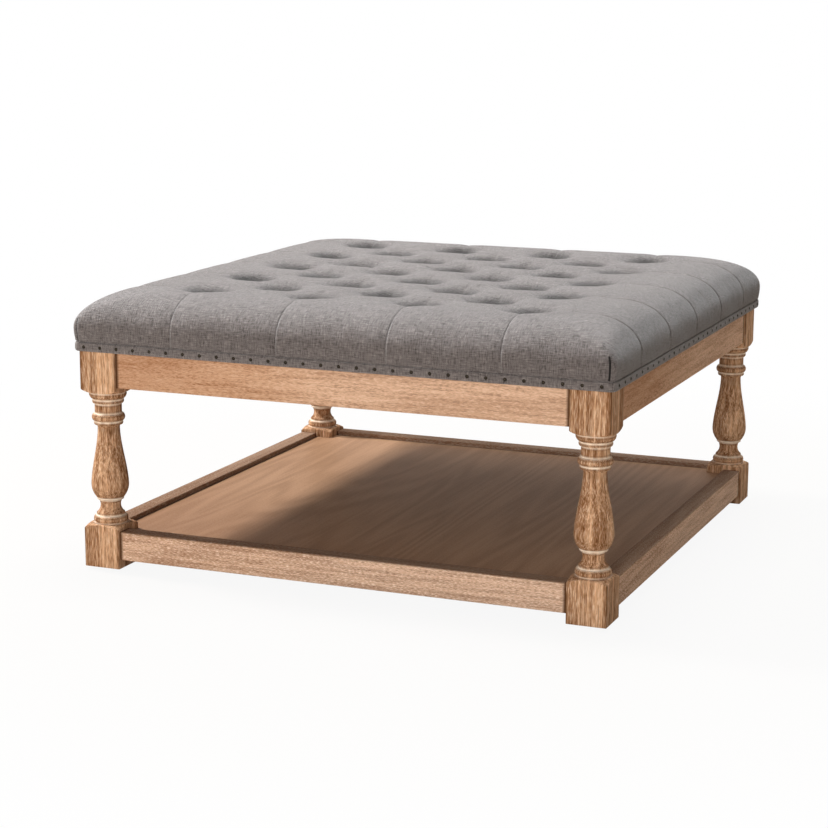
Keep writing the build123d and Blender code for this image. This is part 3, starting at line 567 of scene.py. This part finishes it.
# the first line whose beginnings fit the node's name counts
paints = [
    (apronX, ("apron_front", "apron_back")),
    (apronY, ("apron_left", "apron_right")),
    (railX, ("shelf_rail_front", "shelf_rail_back")),
    (railY, ("shelf_rail_left", "shelf_rail_right")),
    (zincSteel, ("leg_bolts", "bolt_", "brace_", "cleat_", "panel_", "deck_screws", "glide_nails")),
    (legOak, ("leg_",)),
    (panelOak, ("shelf_panel",)),
    (pineY, ("shelf_bearer", "deck_bearer", "shelf_cleat_left", "shelf_cleat_right")),
    (pineX, ("upper_", "lower_", "shelf_cleat", "apron_dowels", "shelf_dowels", "deck_board")),
    (blackNylon, ("glide", "tuft_anchors")),
    (agedBrass, ("band_nails",)),
    (twineWax, ("tuft_twines",)),
    (foamCream, ("foam_pad",)),
    (blackCambric, ("dust_cover",)),
]
for name, node in nodes.items():
    for material, beginnings in paints:
        if name.startswith(beginnings):
            paint(node, material)
            break
print("materials made")


# turned legs

legShape = {
    "axis": 413.0, "side": 64.0, "flat": 7.0, "inner": 381.0, "foot": 5.0, "lower": 71.4, "upper": 69.6, "top": 363.0,
    "drop": 6.5, "edge": 1.4, "steps": 64, "spacing": 2.0,
    "torus": (12.3, 28.0, 3.5), "neck": (3.8, 23.0), "waist": (22.3, 16.6, 19.5), "ring": (2.6, 22.0, 1.3),
    "vase": (117.0, 21.5, 30.5, 17.9), "cove": 5.3, "fillet": (5.4, 23.7, 1.0), "bead": (13.1, 26.9, 3.9),
    "drum": (16.7, 21.9), "collar": (6.6, 25.7, 1.3), "ovolo": (11.9, 30.4, 1.5),
    "shoulder": 14.0, "cuts": 17, "braceTops": (48, 323), "sunk": 3, "bellyAt": 0.21, "bellyBend": (0.62, 0.07),
    "swellFade": (-0.08, 1.02), "ovoloBends": (0.72, 0.3, 0.7, 0.3, 0.88), "cutReach": 20.0, "cutLength": 60.0,
}
# lime in the grooves, and glaze beside them, in the necks of the vase and on worn block edges
legTouch = {
    "limeHigh": 1.6, "limeWide": 2.8, "lime": 1.25, "besideAway": 3.4, "besideHigh": 1.2, "beside": 0.62,
    "necks": (126, 232), "neckHigh": 9, "neck": 0.35, "turnedMost": 0.8, "edge": 2.4, "edgeFrom": 26,
    "edgeMost": 0.9, "patches": 0.11, "edgePatches": 0.08,
}


def unwrapped(angle, before):
    # the same angle, at most half a turn from the one before it
    while angle - before > pi:
        angle -= 2 * pi
    while angle - before < -pi:
        angle += 2 * pi
    return angle


def arcPoints(a, b, c, count):
    # a circle through three points, walked from a to c
    ax, az, bx, bz, cx, cz = *a, *b, *c
    d = 2 * (ax * (bz - cz) + bx * (cz - az) + cx * (az - bz))
    ux = ((ax**2 + az**2) * (bz - cz) + (bx**2 + bz**2) * (cz - az) + (cx**2 + cz**2) * (az - bz)) / d
    uz = ((ax**2 + az**2) * (cx - bx) + (bx**2 + bz**2) * (ax - cx) + (cx**2 + cz**2) * (bx - ax)) / d
    radius = hypot(ax - ux, az - uz)
    start, middle, end = (atan2(z - uz, x - ux) for x, z in (a, b, c))
    end = unwrapped(end, unwrapped(middle, start))
    angles = [start + (end - start) * n / count for n in range(1, count + 1)]
    return [(ux + radius * cos(t), uz + radius * sin(t)) for t in angles]


def moulded(points, height, radius, depth, count):
    # a bead, whose ends are cut in by its depth
    x, z = radius - depth, points[-1][1]
    points.append((x, z))
    points += arcPoints((x, z), (radius, z + height / 2), (x, z + height), count)


def plain(points, height, radius):
    z = points[-1][1]
    points += [(radius, z), (radius, z + height)]


def waisted(points, height, radius, top):
    z = points[-1][1]
    points += arcPoints(points[-1], (radius, z + height / 2), (top, z + height), 10)


def vase(points, height, foot, belly, neck):
    z = points[-1][1]
    points.append((foot, z))
    rise = height * legShape["bellyAt"]
    out, up = legShape["bellyBend"]
    points += arcPoints(points[-1], (foot + (belly - foot) * out, z + height * up), (belly, z + rise), 8)
    low, high = legShape["swellFade"]
    for n in range(1, 17):
        t = n / 16
        swell = 1 - ease(t, low, high)
        points.append((neck + (belly - neck) * swell / (1 - ease(0, low, high)), z + rise + (height - rise) * t))
    points[-1] = (neck, z + height)


def coved(points, height, radius):
    x, z = points[-1]
    points += arcPoints((x, z), (radius - (radius - x) / sqrt(2), z + height / sqrt(2)), (radius, z + height), 6)


def nosed(points, height, radius, nose):
    x, z = points[-1]
    out, low, high, bend, last = legShape["ovoloBends"]
    points += arcPoints((x, z), (x + (radius - x) * out, z + height * low), (radius, z + height * high), 6)
    points += arcPoints(points[-1], (radius - nose * bend, z + height * last), (radius - nose, z + height), 4)


def divided(points):
    # long steps are cut up, except those near the axis, inside the blocks
    close = [points[0]]
    for before, after in zip(points, points[1:]):
        length = hypot(after[0] - before[0], after[1] - before[1])
        count = max(ceil(length / legShape["spacing"]), 1) if min(before[0], after[0]) > 10 else 1
        close += [(blendOf(before[0], after[0], n / count), blendOf(before[1], after[1], n / count))
                  for n in range(1, count + 1)]
    return close


def legProfile():
    # radius and height from the foot block up, and the places of the grooves
    s = legShape
    foot = s["foot"] + s["lower"]
    start = s["torus"][1] - s["torus"][2]
    points = [(0, foot - s["sunk"]), (start, foot - s["sunk"]), (start, foot)]
    grooves = [points[-1]]
    moulded(points, *s["torus"], 9)
    plain(points, *s["neck"])
    grooves.append(points[-2])
    waisted(points, *s["waist"])
    grooves.append(points[-1])
    moulded(points, *s["ring"], 5)
    grooves.append((s["vase"][1], points[-1][1]))
    vase(points, *s["vase"])
    coved(points, s["cove"], s["fillet"][1] - s["fillet"][2])
    moulded(points, *s["fillet"], 5)
    grooves.append(points[-1])
    moulded(points, *s["bead"], 10)
    plain(points, *s["drum"])
    grooves += points[-2:]
    moulded(points, *s["collar"], 5)
    grooves.append(points[-1])
    nosed(points, *s["ovolo"])
    grooves.append(points[-1])
    radius, top = points[-1]
    points += [(radius, top + s["sunk"]), (0, top + s["sunk"])]
    return divided(points), grooves


def turnedPart(points):
    deselectAll()
    bpy.ops.mesh.primitive_plane_add(size=0.01)
    obj = named("turning")
    editAll()
    bpy.ops.mesh.merge(type="CENTER")
    places = [Vector((radius, 0, z)) * mm for radius, z in points]
    bpy.ops.transform.translate(value=places[0])
    for before, after in zip(places, places[1:]):
        bpy.ops.mesh.extrude_region_move(TRANSFORM_OT_translate={"value": after - before})
    choose()
    bpy.ops.mesh.spin(steps=legShape["steps"], angle=2 * pi, center=(0, 0, 0), axis=(0, 0, 1))
    closeMesh(0.00002)
    return obj


# A square block whose end next to the turning falls away at its corners
def shoulderedBlock(low, high, shoulderRadius, upwards):
    deselectAll()
    bpy.ops.mesh.primitive_cube_add(size=1)
    obj = named("block")
    editAll()
    bpy.ops.transform.resize(value=Vector((legShape["side"], legShape["side"], high - low)) * mm)
    bpy.ops.transform.translate(value=(0, 0, (low + high) / 2 * mm))
    bpy.ops.mesh.subdivide(number_cuts=legShape["cuts"])
    toMode("OBJECT")
    corner = legShape["side"] / sqrt(2)
    end = high if upwards else low
    for vertex in obj.data.vertices:
        reach = hypot(vertex.co.x, vertex.co.y) / mm
        near = 1 - min(abs(vertex.co.z / mm - end) / legShape["shoulder"], 1)
        if near > 0 and reach > shoulderRadius:
            share = (reach - shoulderRadius) / (corner - shoulderRadius)
            fall = legShape["drop"] * share**1.5 * near
            vertex.co.z += (-fall if upwards else fall) * mm
    useModifier(obj, "BEVEL", width=legShape["edge"] * mm, segments=3, limit_method="ANGLE", angle_limit=radians(38))
    return obj


def cutFlat(obj, low, high):
    # the flat on the inner corner, where a brace bears
    deselectAll()
    reach = legShape["cutReach"] * mm
    middle = legShape["inner"] * sqrt(2) + legShape["flat"] - legShape["axis"] * sqrt(2)
    bpy.ops.mesh.primitive_cube_add(size=1)
    cutter = named("flatCutter")
    cutter.dimensions = (reach * 2, legShape["cutLength"] * mm, (high - low) * mm)
    cutter.rotation_euler = (0, 0, radians(45))
    away = (middle * mm - reach) / sqrt(2)
    cutter.location = (away, away, (low + high) / 2 * mm)
    settle(cutter)
    useModifier(obj, "BOOLEAN", operation="DIFFERENCE", object=cutter, solver="EXACT")
    bpy.data.objects.remove(cutter)


def touchUp(leg, grooves, lowerTop, upperFoot):
    # masks that the leg's material reads
    t = legTouch
    lime, glaze = pointMasks(leg.data, "lime", "glaze")
    for index, vertex in enumerate(leg.data.vertices):
        x, y, z = vertex.co / mm
        reach = hypot(x, y)
        groove = max(exp(-(((z - gz) / t["limeHigh"]) ** 2) - ((reach - gr) / t["limeWide"]) ** 2)
                     for gr, gz in grooves)
        patchy = 0.75 + 0.45 * noise.noise(Vector((x, y, z)) * t["patches"])
        lime[index].value = min(groove * patchy * t["lime"], 1)
        beside = max(exp(-(((abs(z - gz) - t["besideAway"]) / t["besideHigh"]) ** 2)) for gr, gz in grooves)
        ends = max(exp(-(((z - neck) / t["neckHigh"]) ** 2)) for neck in t["necks"])
        if lowerTop < z < upperFoot:
            glaze[index].value = min(max(t["beside"] * beside, t["neck"] * ends), t["turnedMost"]) * patchy
        if (z < lowerTop + 0.5 or z > upperFoot - 0.5) and reach > t["edgeFrom"]:
            edge = legShape["side"] / 2 - min(abs(x), abs(y))
            wear = 0.7 + 0.6 * noise.noise(Vector((x, y, z)) * t["edgePatches"])
            glaze[index].value = min(max(exp(-((edge / t["edge"]) ** 2)) * wear, 0), t["edgeMost"])


def makeLegs():
    s = legShape
    points, grooves = legProfile()
    turning = turnedPart(points)
    lowerTop = s["foot"] + s["lower"]
    upperFoot = s["top"] - s["upper"]
    lower = shoulderedBlock(s["foot"], lowerTop, s["torus"][1], True)
    upper = shoulderedBlock(upperFoot, s["top"], s["ovolo"][1], False)
    cutFlat(lower, 0, s["braceTops"][0])
    cutFlat(upper, s["braceTops"][1], s["top"] + 4)
    leg = joined([turning, lower, upper], "turnedLeg")
    touchUp(leg, grooves, lowerTop, upperFoot)
    smoothed(leg, 40)
    for corner, turns in corners.items():
        matrix = Matrix.Rotation(turns * pi / 2, 4, "Z") @ Matrix.Translation((s["axis"] * mm, s["axis"] * mm, 0))
        piece = copied(leg, "turnedLeg_" + corner, matrix)
        smoothed(piece, 40)
        paint(piece, legOak)
        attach(piece, "root")
        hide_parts("leg_" + corner)
    bpy.data.objects.remove(leg)


makeLegs()
print("legs turned")


# tufted cushion

cushion = {
    # the pad, and the steps in under it
    "bottom": 379.5, "top": 456.5, "half": 454.0, "footHalf": 452.5, "flat": 374.0, "bulgeHeight": 402.0,
    "footCorner": 12.5, "topCorner": 72.0, "straight": 335.0, "underSteps": (0.992, 0.9),
    # grid lines of the sheet
    "lineGaps": (1.6, 4.0, 7.3), "edgeLines": 23,
    # tufts, with reach, depth or power, and edge of the dish and the core of each
    "pitchX": 184.0, "pitchY": 160.0, "rows": 9, "tuftDepth": 32.3, "fieldDrop": 1.5, "undulation": 5.5,
    "fieldFade": ((262, 330), (306, 370)), "dish": (60.0, 4.0, 1.6), "core": (42.0, 1.05, 3.0), "wide": 1.04,
    "rim": 0.8, "rimWidth": 12, "uneven": (0.06, 0.05), "deeper": (-2.5, 0.3), "wider": (-0.1, 0.1),
    # painted shade in the tuft hollows: its strength, and the reaches where it starts to fade and where it is gone
    "hollow": (0.92, 20.0, 47.0),
    # where the cloth is held, and how far it puffs out
    "tuftKnot": 5.0, "hemHold": 6.0, "cap": 1.6, "fieldCap": 2.8, "tuftHold": 40.0, "capFade": (345, 375),
    # seams, and the fold along each, with the width of the painted shade in its groove
    "seamDip": 2.0, "seamWidth": 12.0, "seamStart": {True: (30, 120), False: (0, 60)}, "seamEnd": (40, 0.75),
    "foldStart": (24, 60), "foldFull": (385, 435), "foldWide": 24, "foldLeast": 0.25, "sideFold": 0.55,
    "noFold": (60, 370), "grooveDepth": 0.9, "grooveWidth": 1.2, "lips": ((0.9, 3.4, 3), (-0.8, -5, 6)),
    "seamShadeWidth": 0.9,
    # sewn corners
    "pleatDepth": 2.4, "pleatWidth": 1.8, "pleatTop": (404, 418), "pleatFrom": 380, "pleatWide": 12,
}
blowing = {
    "quality": 6, "mass": 0.25, "tension_stiffness": 18, "compression_stiffness": 12, "shear_stiffness": 6,
    "bending_stiffness": 0.6, "use_pressure": True, "uniform_pressure_force": 4.0, "shrink_min": -0.025,
}
blowingFrames = 20
edgeX = 1.5 * cushion["pitchX"]      # the outermost tufts
edgeY = 2 * cushion["pitchY"]


def tuftPlaces():
    places = []
    for row in range(cushion["rows"]):
        y = (row - (cushion["rows"] - 1) / 2) * cushion["pitchY"] / 2
        count = 3 if row % 2 else 4
        places += [((n - (count - 1) / 2) * cushion["pitchX"], y) for n in range(count)]
    return places


tuftSpots = tuftPlaces()


def fromTuft(x, y, wide=1):
    return min(hypot((x - tx) / wide, y - ty) for tx, ty in tuftSpots)


def sideProfile():
    # way along the cloth from the middle of the top, half width and height
    c = cushion
    points = [(c["flat"], c["top"])]
    reach, fall = c["half"] - c["flat"], c["top"] - c["bulgeHeight"]
    for n in range(1, 61):
        a = n / 60 * pi / 2
        points.append((c["flat"] + reach * sin(a), c["top"] - fall * (1 - cos(a))))
    drop = c["bulgeHeight"] - c["bottom"]
    for n in range(1, 21):
        t = n / 20
        points.append((blendOf(c["half"], c["footHalf"], t * t), c["bulgeHeight"] - drop * t))
    way = c["flat"]
    walked = [(way, *points[0])]
    for before, after in zip(points, points[1:]):
        way += hypot(after[0] - before[0], after[1] - before[1])
        walked.append((way, *after))
    return walked


def profileAt(walked, way):
    if way <= walked[0][0]:
        return way, walked[0][2]
    for before, after in zip(walked, walked[1:]):
        if way <= after[0]:
            share = (way - before[0]) / (after[0] - before[0])
            return blendOf(before[1], after[1], share), blendOf(before[2], after[2], share)
    return walked[-1][1], walked[-1][2]


def evenly(start, end, spacing):
    count = max(round((end - start) / spacing), 1)
    return [start + (end - start) * n / count for n in range(1, count + 1)]


def sheetLines(stops, reach):
    # grid lines of half a sheet, drawn together at the tufts and seams
    near, clear, spacing = cushion["lineGaps"]
    lines = [0.0]
    for start, end in zip(stops, stops[1:]):
        lines += [start + near, start + clear, *evenly(start + clear, end - clear, spacing), end - near, end]
    start = stops[-1]
    edge = cushion["straight"] + 5
    count = cushion["edgeLines"]
    lines += [start + near, start + clear, *evenly(start + clear, edge, spacing)]
    lines += [edge + (reach - edge) * n / count for n in range(1, count + 1)]
    return [-line for line in reversed(lines[1:])] + lines


def onRing(half, corner, way):
    # a point of a square ring with round corners, by its way from the middle of a side
    straight = half - corner
    if abs(way) <= straight:
        return half, way
    angle = (abs(way) - straight) / corner
    side = 1 if way > 0 else -1
    return straight + corner * cos(angle), side * (straight + corner * sin(angle))


def sheetPlace(walked, s, t):
    # a point of the flat sheet, folded over the cushion's block
    c = cushion
    m = max(abs(s), abs(t))
    half, z = profileAt(walked, m)
    reach = walked[-1][0]
    corner = c["topCorner"] * ease(m, c["straight"], c["flat"] + 6)
    corner = blendOf(corner, c["footCorner"], ease(m, c["flat"] + 4, reach - 22))
    quarter = half - corner + pi * corner / 4
    onSide = abs(s) >= abs(t)
    along, out = (t, s) if onSide else (s, t)
    if abs(along) > c["straight"] and m > c["straight"]:
        share = (abs(along) - c["straight"]) / (m - c["straight"])
        way = blendOf(c["straight"], quarter, share) * (1 if along > 0 else -1)
    else:
        way = along
    a, b = onRing(half, corner, way) if corner > 0.01 else (half, way)
    a = a if out > 0 else -a
    return (a, b, z, m) if onSide else (b, a, z, m)


def seamOffset(onSide, x, y):
    # distance from the nearest of the seams that run over this edge
    place, pitch, counts = (y, "pitchY", (-2, -1, 0, 1, 2)) if onSide else (x, "pitchX", (-1.5, -0.5, 0.5, 1.5))
    return min((place - n * cushion[pitch] for n in counts), key=abs)


def seamPlace(s, t, x, y):
    # whether a point of the sheet is at a side, its distance from a seam there, and how far out it is
    onSide = abs(s) >= abs(t)
    return onSide, seamOffset(onSide, x, y), abs(s) - edgeX if onSide else abs(t) - edgeY


def tuftSink(x, y, tufts):
    # depth of the tuft hollows at a point, and the rise of the rims round them
    c = cushion
    reachDish, depthDish, powerDish = c["dish"]
    reachCore, powerCore, soft = c["core"]
    edge = soft / reachCore
    oval, lobed = c["uneven"]
    funnel = lift = 0
    for tx, ty, deeper, wider in tufts:
        r = hypot((x - tx) / c["wide"], y - ty)
        if r < reachDish * 1.25:
            angle = atan2(y - ty, x - tx)
            uneven = 1 + oval * sin(2 * angle + tx) + lobed * sin(3 * angle + ty) + wider
            shareDish = max(1 - r / (reachDish * uneven), 0) ** powerDish
            # the core is a cone with a rounded lip
            away = max(1 - r / (reachCore * uneven), 0)
            shareCore = ((sqrt(away**2 + edge**2) - edge) / (sqrt(1 + edge**2) - edge)) ** powerCore
            deep = c["tuftDepth"] + deeper - c["undulation"] - c["fieldDrop"] - depthDish
            funnel = max(funnel, depthDish * shareDish + deep * shareCore)
        lift = max(lift, c["rim"] * exp(-(((r - reachDish) / c["rimWidth"]) ** 2)))
    return funnel, lift


def foldSheet(mesh, xLines, yLines, walked, tufts):
    # lays the flat grid over the pad, and returns for each vertex its place on the sheet and on the pad
    c = cushion
    sheet = []
    for vertex in mesh.vertices:
        s = xLines[round((vertex.co.x + 1) / 2 * (len(xLines) - 1))]
        t = yLines[round((vertex.co.y + 1) / 2 * (len(yLines) - 1))]
        x, y, z, m = sheetPlace(walked, s, t)
        inField = (1 - ease(abs(x), *c["fieldFade"][0])) * (1 - ease(abs(y), *c["fieldFade"][1]))
        wave = cos(pi * x / (c["pitchX"] / 2)) * cos(pi * y / (c["pitchY"] / 2))
        sink = inField * (c["fieldDrop"] + c["undulation"] * (1 - wave) / 2)
        funnel, lift = tuftSink(x, y, tufts)
        z += lift - sink - funnel
        vertex.co = Vector((x, y, z)) * mm
        sheet.append((s, t, x, y, m))
    mesh.update()
    return sheet


def holdSheet(obj, sheet, reach):
    # where the cloth is held: stitches of the tufts, seams and the lower edge
    c = cushion
    held = obj.vertex_groups.new(name="held")
    for index, (s, t, x, y, m) in enumerate(sheet):
        onSide, offset, outwards = seamPlace(s, t, x, y)
        if fromTuft(x, y) < c["tuftKnot"] or m > reach - c["hemHold"] or (outwards > 0 and abs(offset) < 1):
            held.add([index], 1.0, "REPLACE")
    return held


def pullSeams(mesh, sheet, reach):
    # the seams are pulled in before the cloth is blown up
    c = cushion
    normals = [vertex.normal.copy() for vertex in mesh.vertices]
    for index, (s, t, x, y, m) in enumerate(sheet):
        onSide, offset, outwards = seamPlace(s, t, x, y)
        dip = c["seamDip"] * exp(-abs(offset) / c["seamWidth"]) * ease(outwards, *c["seamStart"][onSide])
        dip *= 1 - c["seamEnd"][1] * ease(m, reach - c["seamEnd"][0], reach)
        mesh.vertices[index].co -= normals[index] * dip * mm


def mapSheet(mesh, sheet):
    # one map in metres that follows the cloth: the top, and each side with its own upward way
    straight = cushion["straight"]
    clothMap = mesh.uv_layers.new(name="clothMap")
    for face in mesh.polygons:
        places = [sheet[v] for v in face.vertices]
        onSide = sum(abs(p[0]) for p in places) >= sum(abs(p[1]) for p in places)
        for loop, (s, t, x, y, m) in zip(face.loop_indices, places):
            u, v = (s, y if m > straight else t) if onSide else (x if m > straight else s, t)
            clothMap.data[loop].uv = (u * mm, v * mm)


def makeCushion():
    c = cushion
    chance = random.Random(11)
    walked = sideProfile()
    reach = walked[-1][0]
    xLines = sheetLines([n * c["pitchX"] / 2 for n in range(4)], reach)
    yLines = sheetLines([n * c["pitchY"] / 2 for n in range(5)], reach)
    deselectAll()
    bpy.ops.mesh.primitive_grid_add(x_subdivisions=len(xLines) - 1, y_subdivisions=len(yLines) - 1, size=2)
    obj = named("tuftedCushion")
    tufts = [(x, y, chance.uniform(*c["deeper"]), chance.uniform(*c["wider"])) for x, y in tuftSpots]
    sheet = foldSheet(obj.data, xLines, yLines, walked, tufts)
    held = holdSheet(obj, sheet, reach)
    pullSeams(obj.data, sheet, reach)
    blowUp(obj, held.name)
    mapSheet(obj.data, sheet)
    useModifier(obj, "SUBSURF", levels=1, render_levels=1)
    foldSeams(obj)
    closeUnder(obj)
    smoothed(obj, 60)
    paint(obj, coverCloth)
    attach(obj, "root")
    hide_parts("cushion_cover", "foam_pad")


def blowUp(obj, group):
    c = cushion
    scene = bpy.context.scene
    mesh = obj.data
    before = [vertex.co.copy() for vertex in mesh.vertices]
    pick(obj)
    modifier = obj.modifiers.new("cloth", "CLOTH")
    for key, value in blowing.items():
        setattr(modifier.settings, key, value)
    modifier.settings.vertex_group_mass = group
    modifier.settings.effector_weights.gravity = 0
    modifier.collision_settings.use_self_collision = False
    modifier.point_cache.frame_start = 1
    modifier.point_cache.frame_end = blowingFrames
    for number in range(1, blowingFrames + 1):
        scene.frame_set(number)
    puffed = obj.evaluated_get(bpy.context.evaluated_depsgraph_get()).data
    after = [vertex.co.copy() for vertex in puffed.vertices]
    obj.modifiers.remove(modifier)
    scene.frame_set(1)
    furthest = 0
    fadeX, fadeY = c["capFade"]
    for vertex, start, end in zip(mesh.vertices, before, after):
        move = end - start
        x, y = start.x / mm, start.y / mm
        outer = max(ease(abs(x), edgeX, fadeX), ease(abs(y), edgeY, fadeY))
        loose = 1 - exp(-((fromTuft(x, y) / c["tuftHold"]) ** 2))
        cap = blendOf(c["fieldCap"] * loose, c["cap"], outer) * mm
        furthest = max(furthest, move.length)
        if move.length > 0:
            move *= cap * (1 - exp(-move.length / max(cap, 1e-6))) / move.length
        vertex.co = start + move
    mesh.update()
    print("cushion blown up, furthest", round(furthest / mm, 1), "mm before the cap")


def foldSeams(obj):
    c = cushion
    mesh = obj.data
    mesh.update()
    seamShade, hollow = pointMasks(mesh, "seamShade", "hollow")
    normals = [vertex.normal.copy() for vertex in mesh.vertices]
    places = [vertex.co / mm for vertex in mesh.vertices]
    dark, inside, outside = c["hollow"]
    for index, (vertex, normal, (x, y, z)) in enumerate(zip(mesh.vertices, normals, places)):
        onSide = abs(x) - edgeX > abs(y) - edgeY
        outwards = abs(x) - edgeX if onSide else abs(y) - edgeY
        offset = seamOffset(onSide, x, y)
        full = ease(max(abs(x), abs(y)), *c["foldFull"])
        strength = ease(outwards, *c["foldStart"]) * blendOf(c["foldLeast"], 1, full)
        strength *= c["sideFold"] if onSide else 1
        atCorner = abs(abs(x) - abs(y)) < c["noFold"][0] and min(abs(x), abs(y)) > c["noFold"][1]
        if strength > 0 and abs(offset) <= c["foldWide"] and not atCorner:
            # a fold: a narrow groove with one lip a little higher
            groove = c["grooveDepth"] * exp(-((offset / c["grooveWidth"]) ** 2))
            lip = sum(height * exp(-(((offset - place) / wide) ** 2)) for height, place, wide in c["lips"])
            vertex.co += normal * (lip - groove) * strength * mm
            # painted shade along the groove
            seamShade[index].value = exp(-((offset / c["seamShadeWidth"]) ** 2)) * strength
        # painted shade in the tuft hollows, fading out from each tuft
        if abs(x) < c["fieldFade"][0][1] and abs(y) < c["capFade"][1]:
            hollow[index].value = dark * (1 - ease(fromTuft(x, y, c["wide"]), inside, outside))
        # sewn corners over the band
        offset = (abs(x) - abs(y) + pleat["shift"] / mm) / sqrt(2)
        if min(abs(x), abs(y)) > c["pleatFrom"] and abs(offset) < c["pleatWide"]:
            strength = 1 - ease(z, *c["pleatTop"])
            vertex.co -= normal * c["pleatDepth"] * exp(-((offset / c["pleatWidth"]) ** 2)) * strength * mm
    mesh.update()


def closeUnder(obj):
    # turn the lower edge in under the pad and close it
    pick(obj)
    toMode("EDIT")
    choose("DESELECT")
    bpy.ops.mesh.select_mode(type="EDGE")
    bpy.ops.mesh.select_non_manifold()
    for shrink in cushion["underSteps"]:
        bpy.ops.mesh.extrude_edges_move(TRANSFORM_OT_translate={"value": (0, 0, 0)})
        bpy.ops.transform.resize(value=(shrink, shrink, 1), center_override=(0, 0, 0))
    bpy.ops.mesh.edge_face_add()
    closeMesh()


makeCushion()
print("cushion made")


# band of cloth with its nails, and the hem under the deck

band = {
    "face": 452.0, "low": 363.0, "height": 15.0, "thick": 2.0, "corner": 11.0, "puff": 0.7, "tuck": 0.9,
    "nails": 30, "pitch": 29.82, "nailReach": 7, "nailPull": 0.6, "spacing": 3.0,
    # way out from the face, share of the puff, and rise of each step up the cloth
    "steps": ((-0.2, 0, 0.7), (0, 0.6, 1.3), (0, 1, 2.2), (0, 1, 3.0), (0, 1, 3.2), (0, 0.6, 2.2), (-0.2, 0, 1.2),
              (-0.9, 0, 0.7)),
}
# way in from the band's back and rise of each step of the hem
hem = {
    "inside": 0.1, "start": 16.2, "spacing": 12,
    "steps": ((0, -15.4), (-0.6, -0.7), (-14, 0), (-41, 0), (-41, 1.1), (-1.2, 0), (-1.2, 15.0), (0, 0)),
}


def ringLoop(half, corner, z, spacing):
    # one closed ring of edges, a square with round corners
    deselectAll()
    bpy.ops.mesh.primitive_plane_add(size=2 * half * mm, location=(0, 0, 0))
    obj = named("ring")
    editAll()
    bpy.ops.mesh.bevel(offset=corner * mm, segments=12, affect="VERTICES")
    choose()
    bpy.ops.mesh.delete(type="ONLY_FACE")
    bpy.ops.mesh.select_mode(type="EDGE")
    choose("DESELECT")
    toMode("OBJECT")
    for edge in obj.data.edges:
        a, b = (obj.data.vertices[v].co for v in edge.vertices)
        edge.select = (a - b).length > half * mm
    toMode("EDIT")
    bpy.ops.mesh.subdivide(number_cuts=round(2 * (half - corner) / spacing) - 1)
    choose()
    bpy.ops.transform.translate(value=(0, 0, z * mm))
    return obj


def raiseRing(obj, name, half, steps):
    # walks the ring of edges up a profile of (half width, height step)
    for target, rise in steps:
        share = target / half
        bpy.ops.mesh.extrude_edges_move(TRANSFORM_OT_translate={"value": (0, 0, rise * mm)})
        bpy.ops.transform.resize(value=(share, share, 1), center_override=(0, 0, 0))
        half = target
    closeMesh(0.00001)
    obj.name = obj.data.name = name


def nailWays():
    return [(n - (band["nails"] - 1) / 2) * band["pitch"] for n in range(band["nails"])]


def mapAround(obj):
    # cloth map of a ring: the way round it, and up
    clothMap = obj.data.uv_layers.new(name="clothMap")
    for face in obj.data.polygons:
        centre = face.center
        alongX = abs(centre.y) > abs(centre.x)
        flat = abs(face.normal.z) > 0.7
        for loop, v in zip(face.loop_indices, face.vertices):
            co = obj.data.vertices[v].co
            around = co.x if alongX else co.y
            up = (co.y if alongX else co.x) if flat else co.z
            clothMap.data[loop].uv = (around, up)


def makeBand():
    b = band
    face, start = b["face"], b["face"] - b["tuck"]
    inner = face - b["thick"] + 0.05
    obj = ringLoop(start, b["corner"], b["low"] + 0.2, b["spacing"])
    steps = [(face + out + b["puff"] * share, rise) for out, share, rise in b["steps"]]
    raiseRing(obj, "nailBand", start, steps + [(inner, 0.1), (inner, 0.5 - b["height"]), (start, 0)])
    middle = b["low"] + b["height"] / 2
    for vertex in obj.data.vertices:
        x, y, z = vertex.co / mm
        axis = 1 if abs(y) > abs(x) else 0     # the side this point is on
        if max(abs(x), abs(y)) < face - b["thick"] / 2 or min(abs(x), abs(y)) > face - b["corner"]:
            continue
        near = min(abs((x, y)[1 - axis] - way) for way in nailWays())
        pull = hypot(near, z - middle)
        if pull < b["nailReach"]:
            vertex.co[axis] *= 1 - b["nailPull"] * (1 - pull / b["nailReach"]) ** 2 / face
    mapAround(obj)
    smoothed(obj, 50)
    paint(obj, bandCloth)
    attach(obj, "root")
    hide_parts("fabric_band")


def makeHem():
    outer = band["face"] - band["thick"] - hem["inside"]
    obj = ringLoop(outer, band["corner"] - band["thick"], band["low"] + hem["start"], hem["spacing"])
    raiseRing(obj, "coverHem", outer, [(outer + out, rise) for out, rise in hem["steps"]])
    mapAround(obj)
    smoothed(obj, 50)
    paint(obj, bandCloth)
    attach(obj, "root")


makeBand()
makeHem()
print("band and hem made")
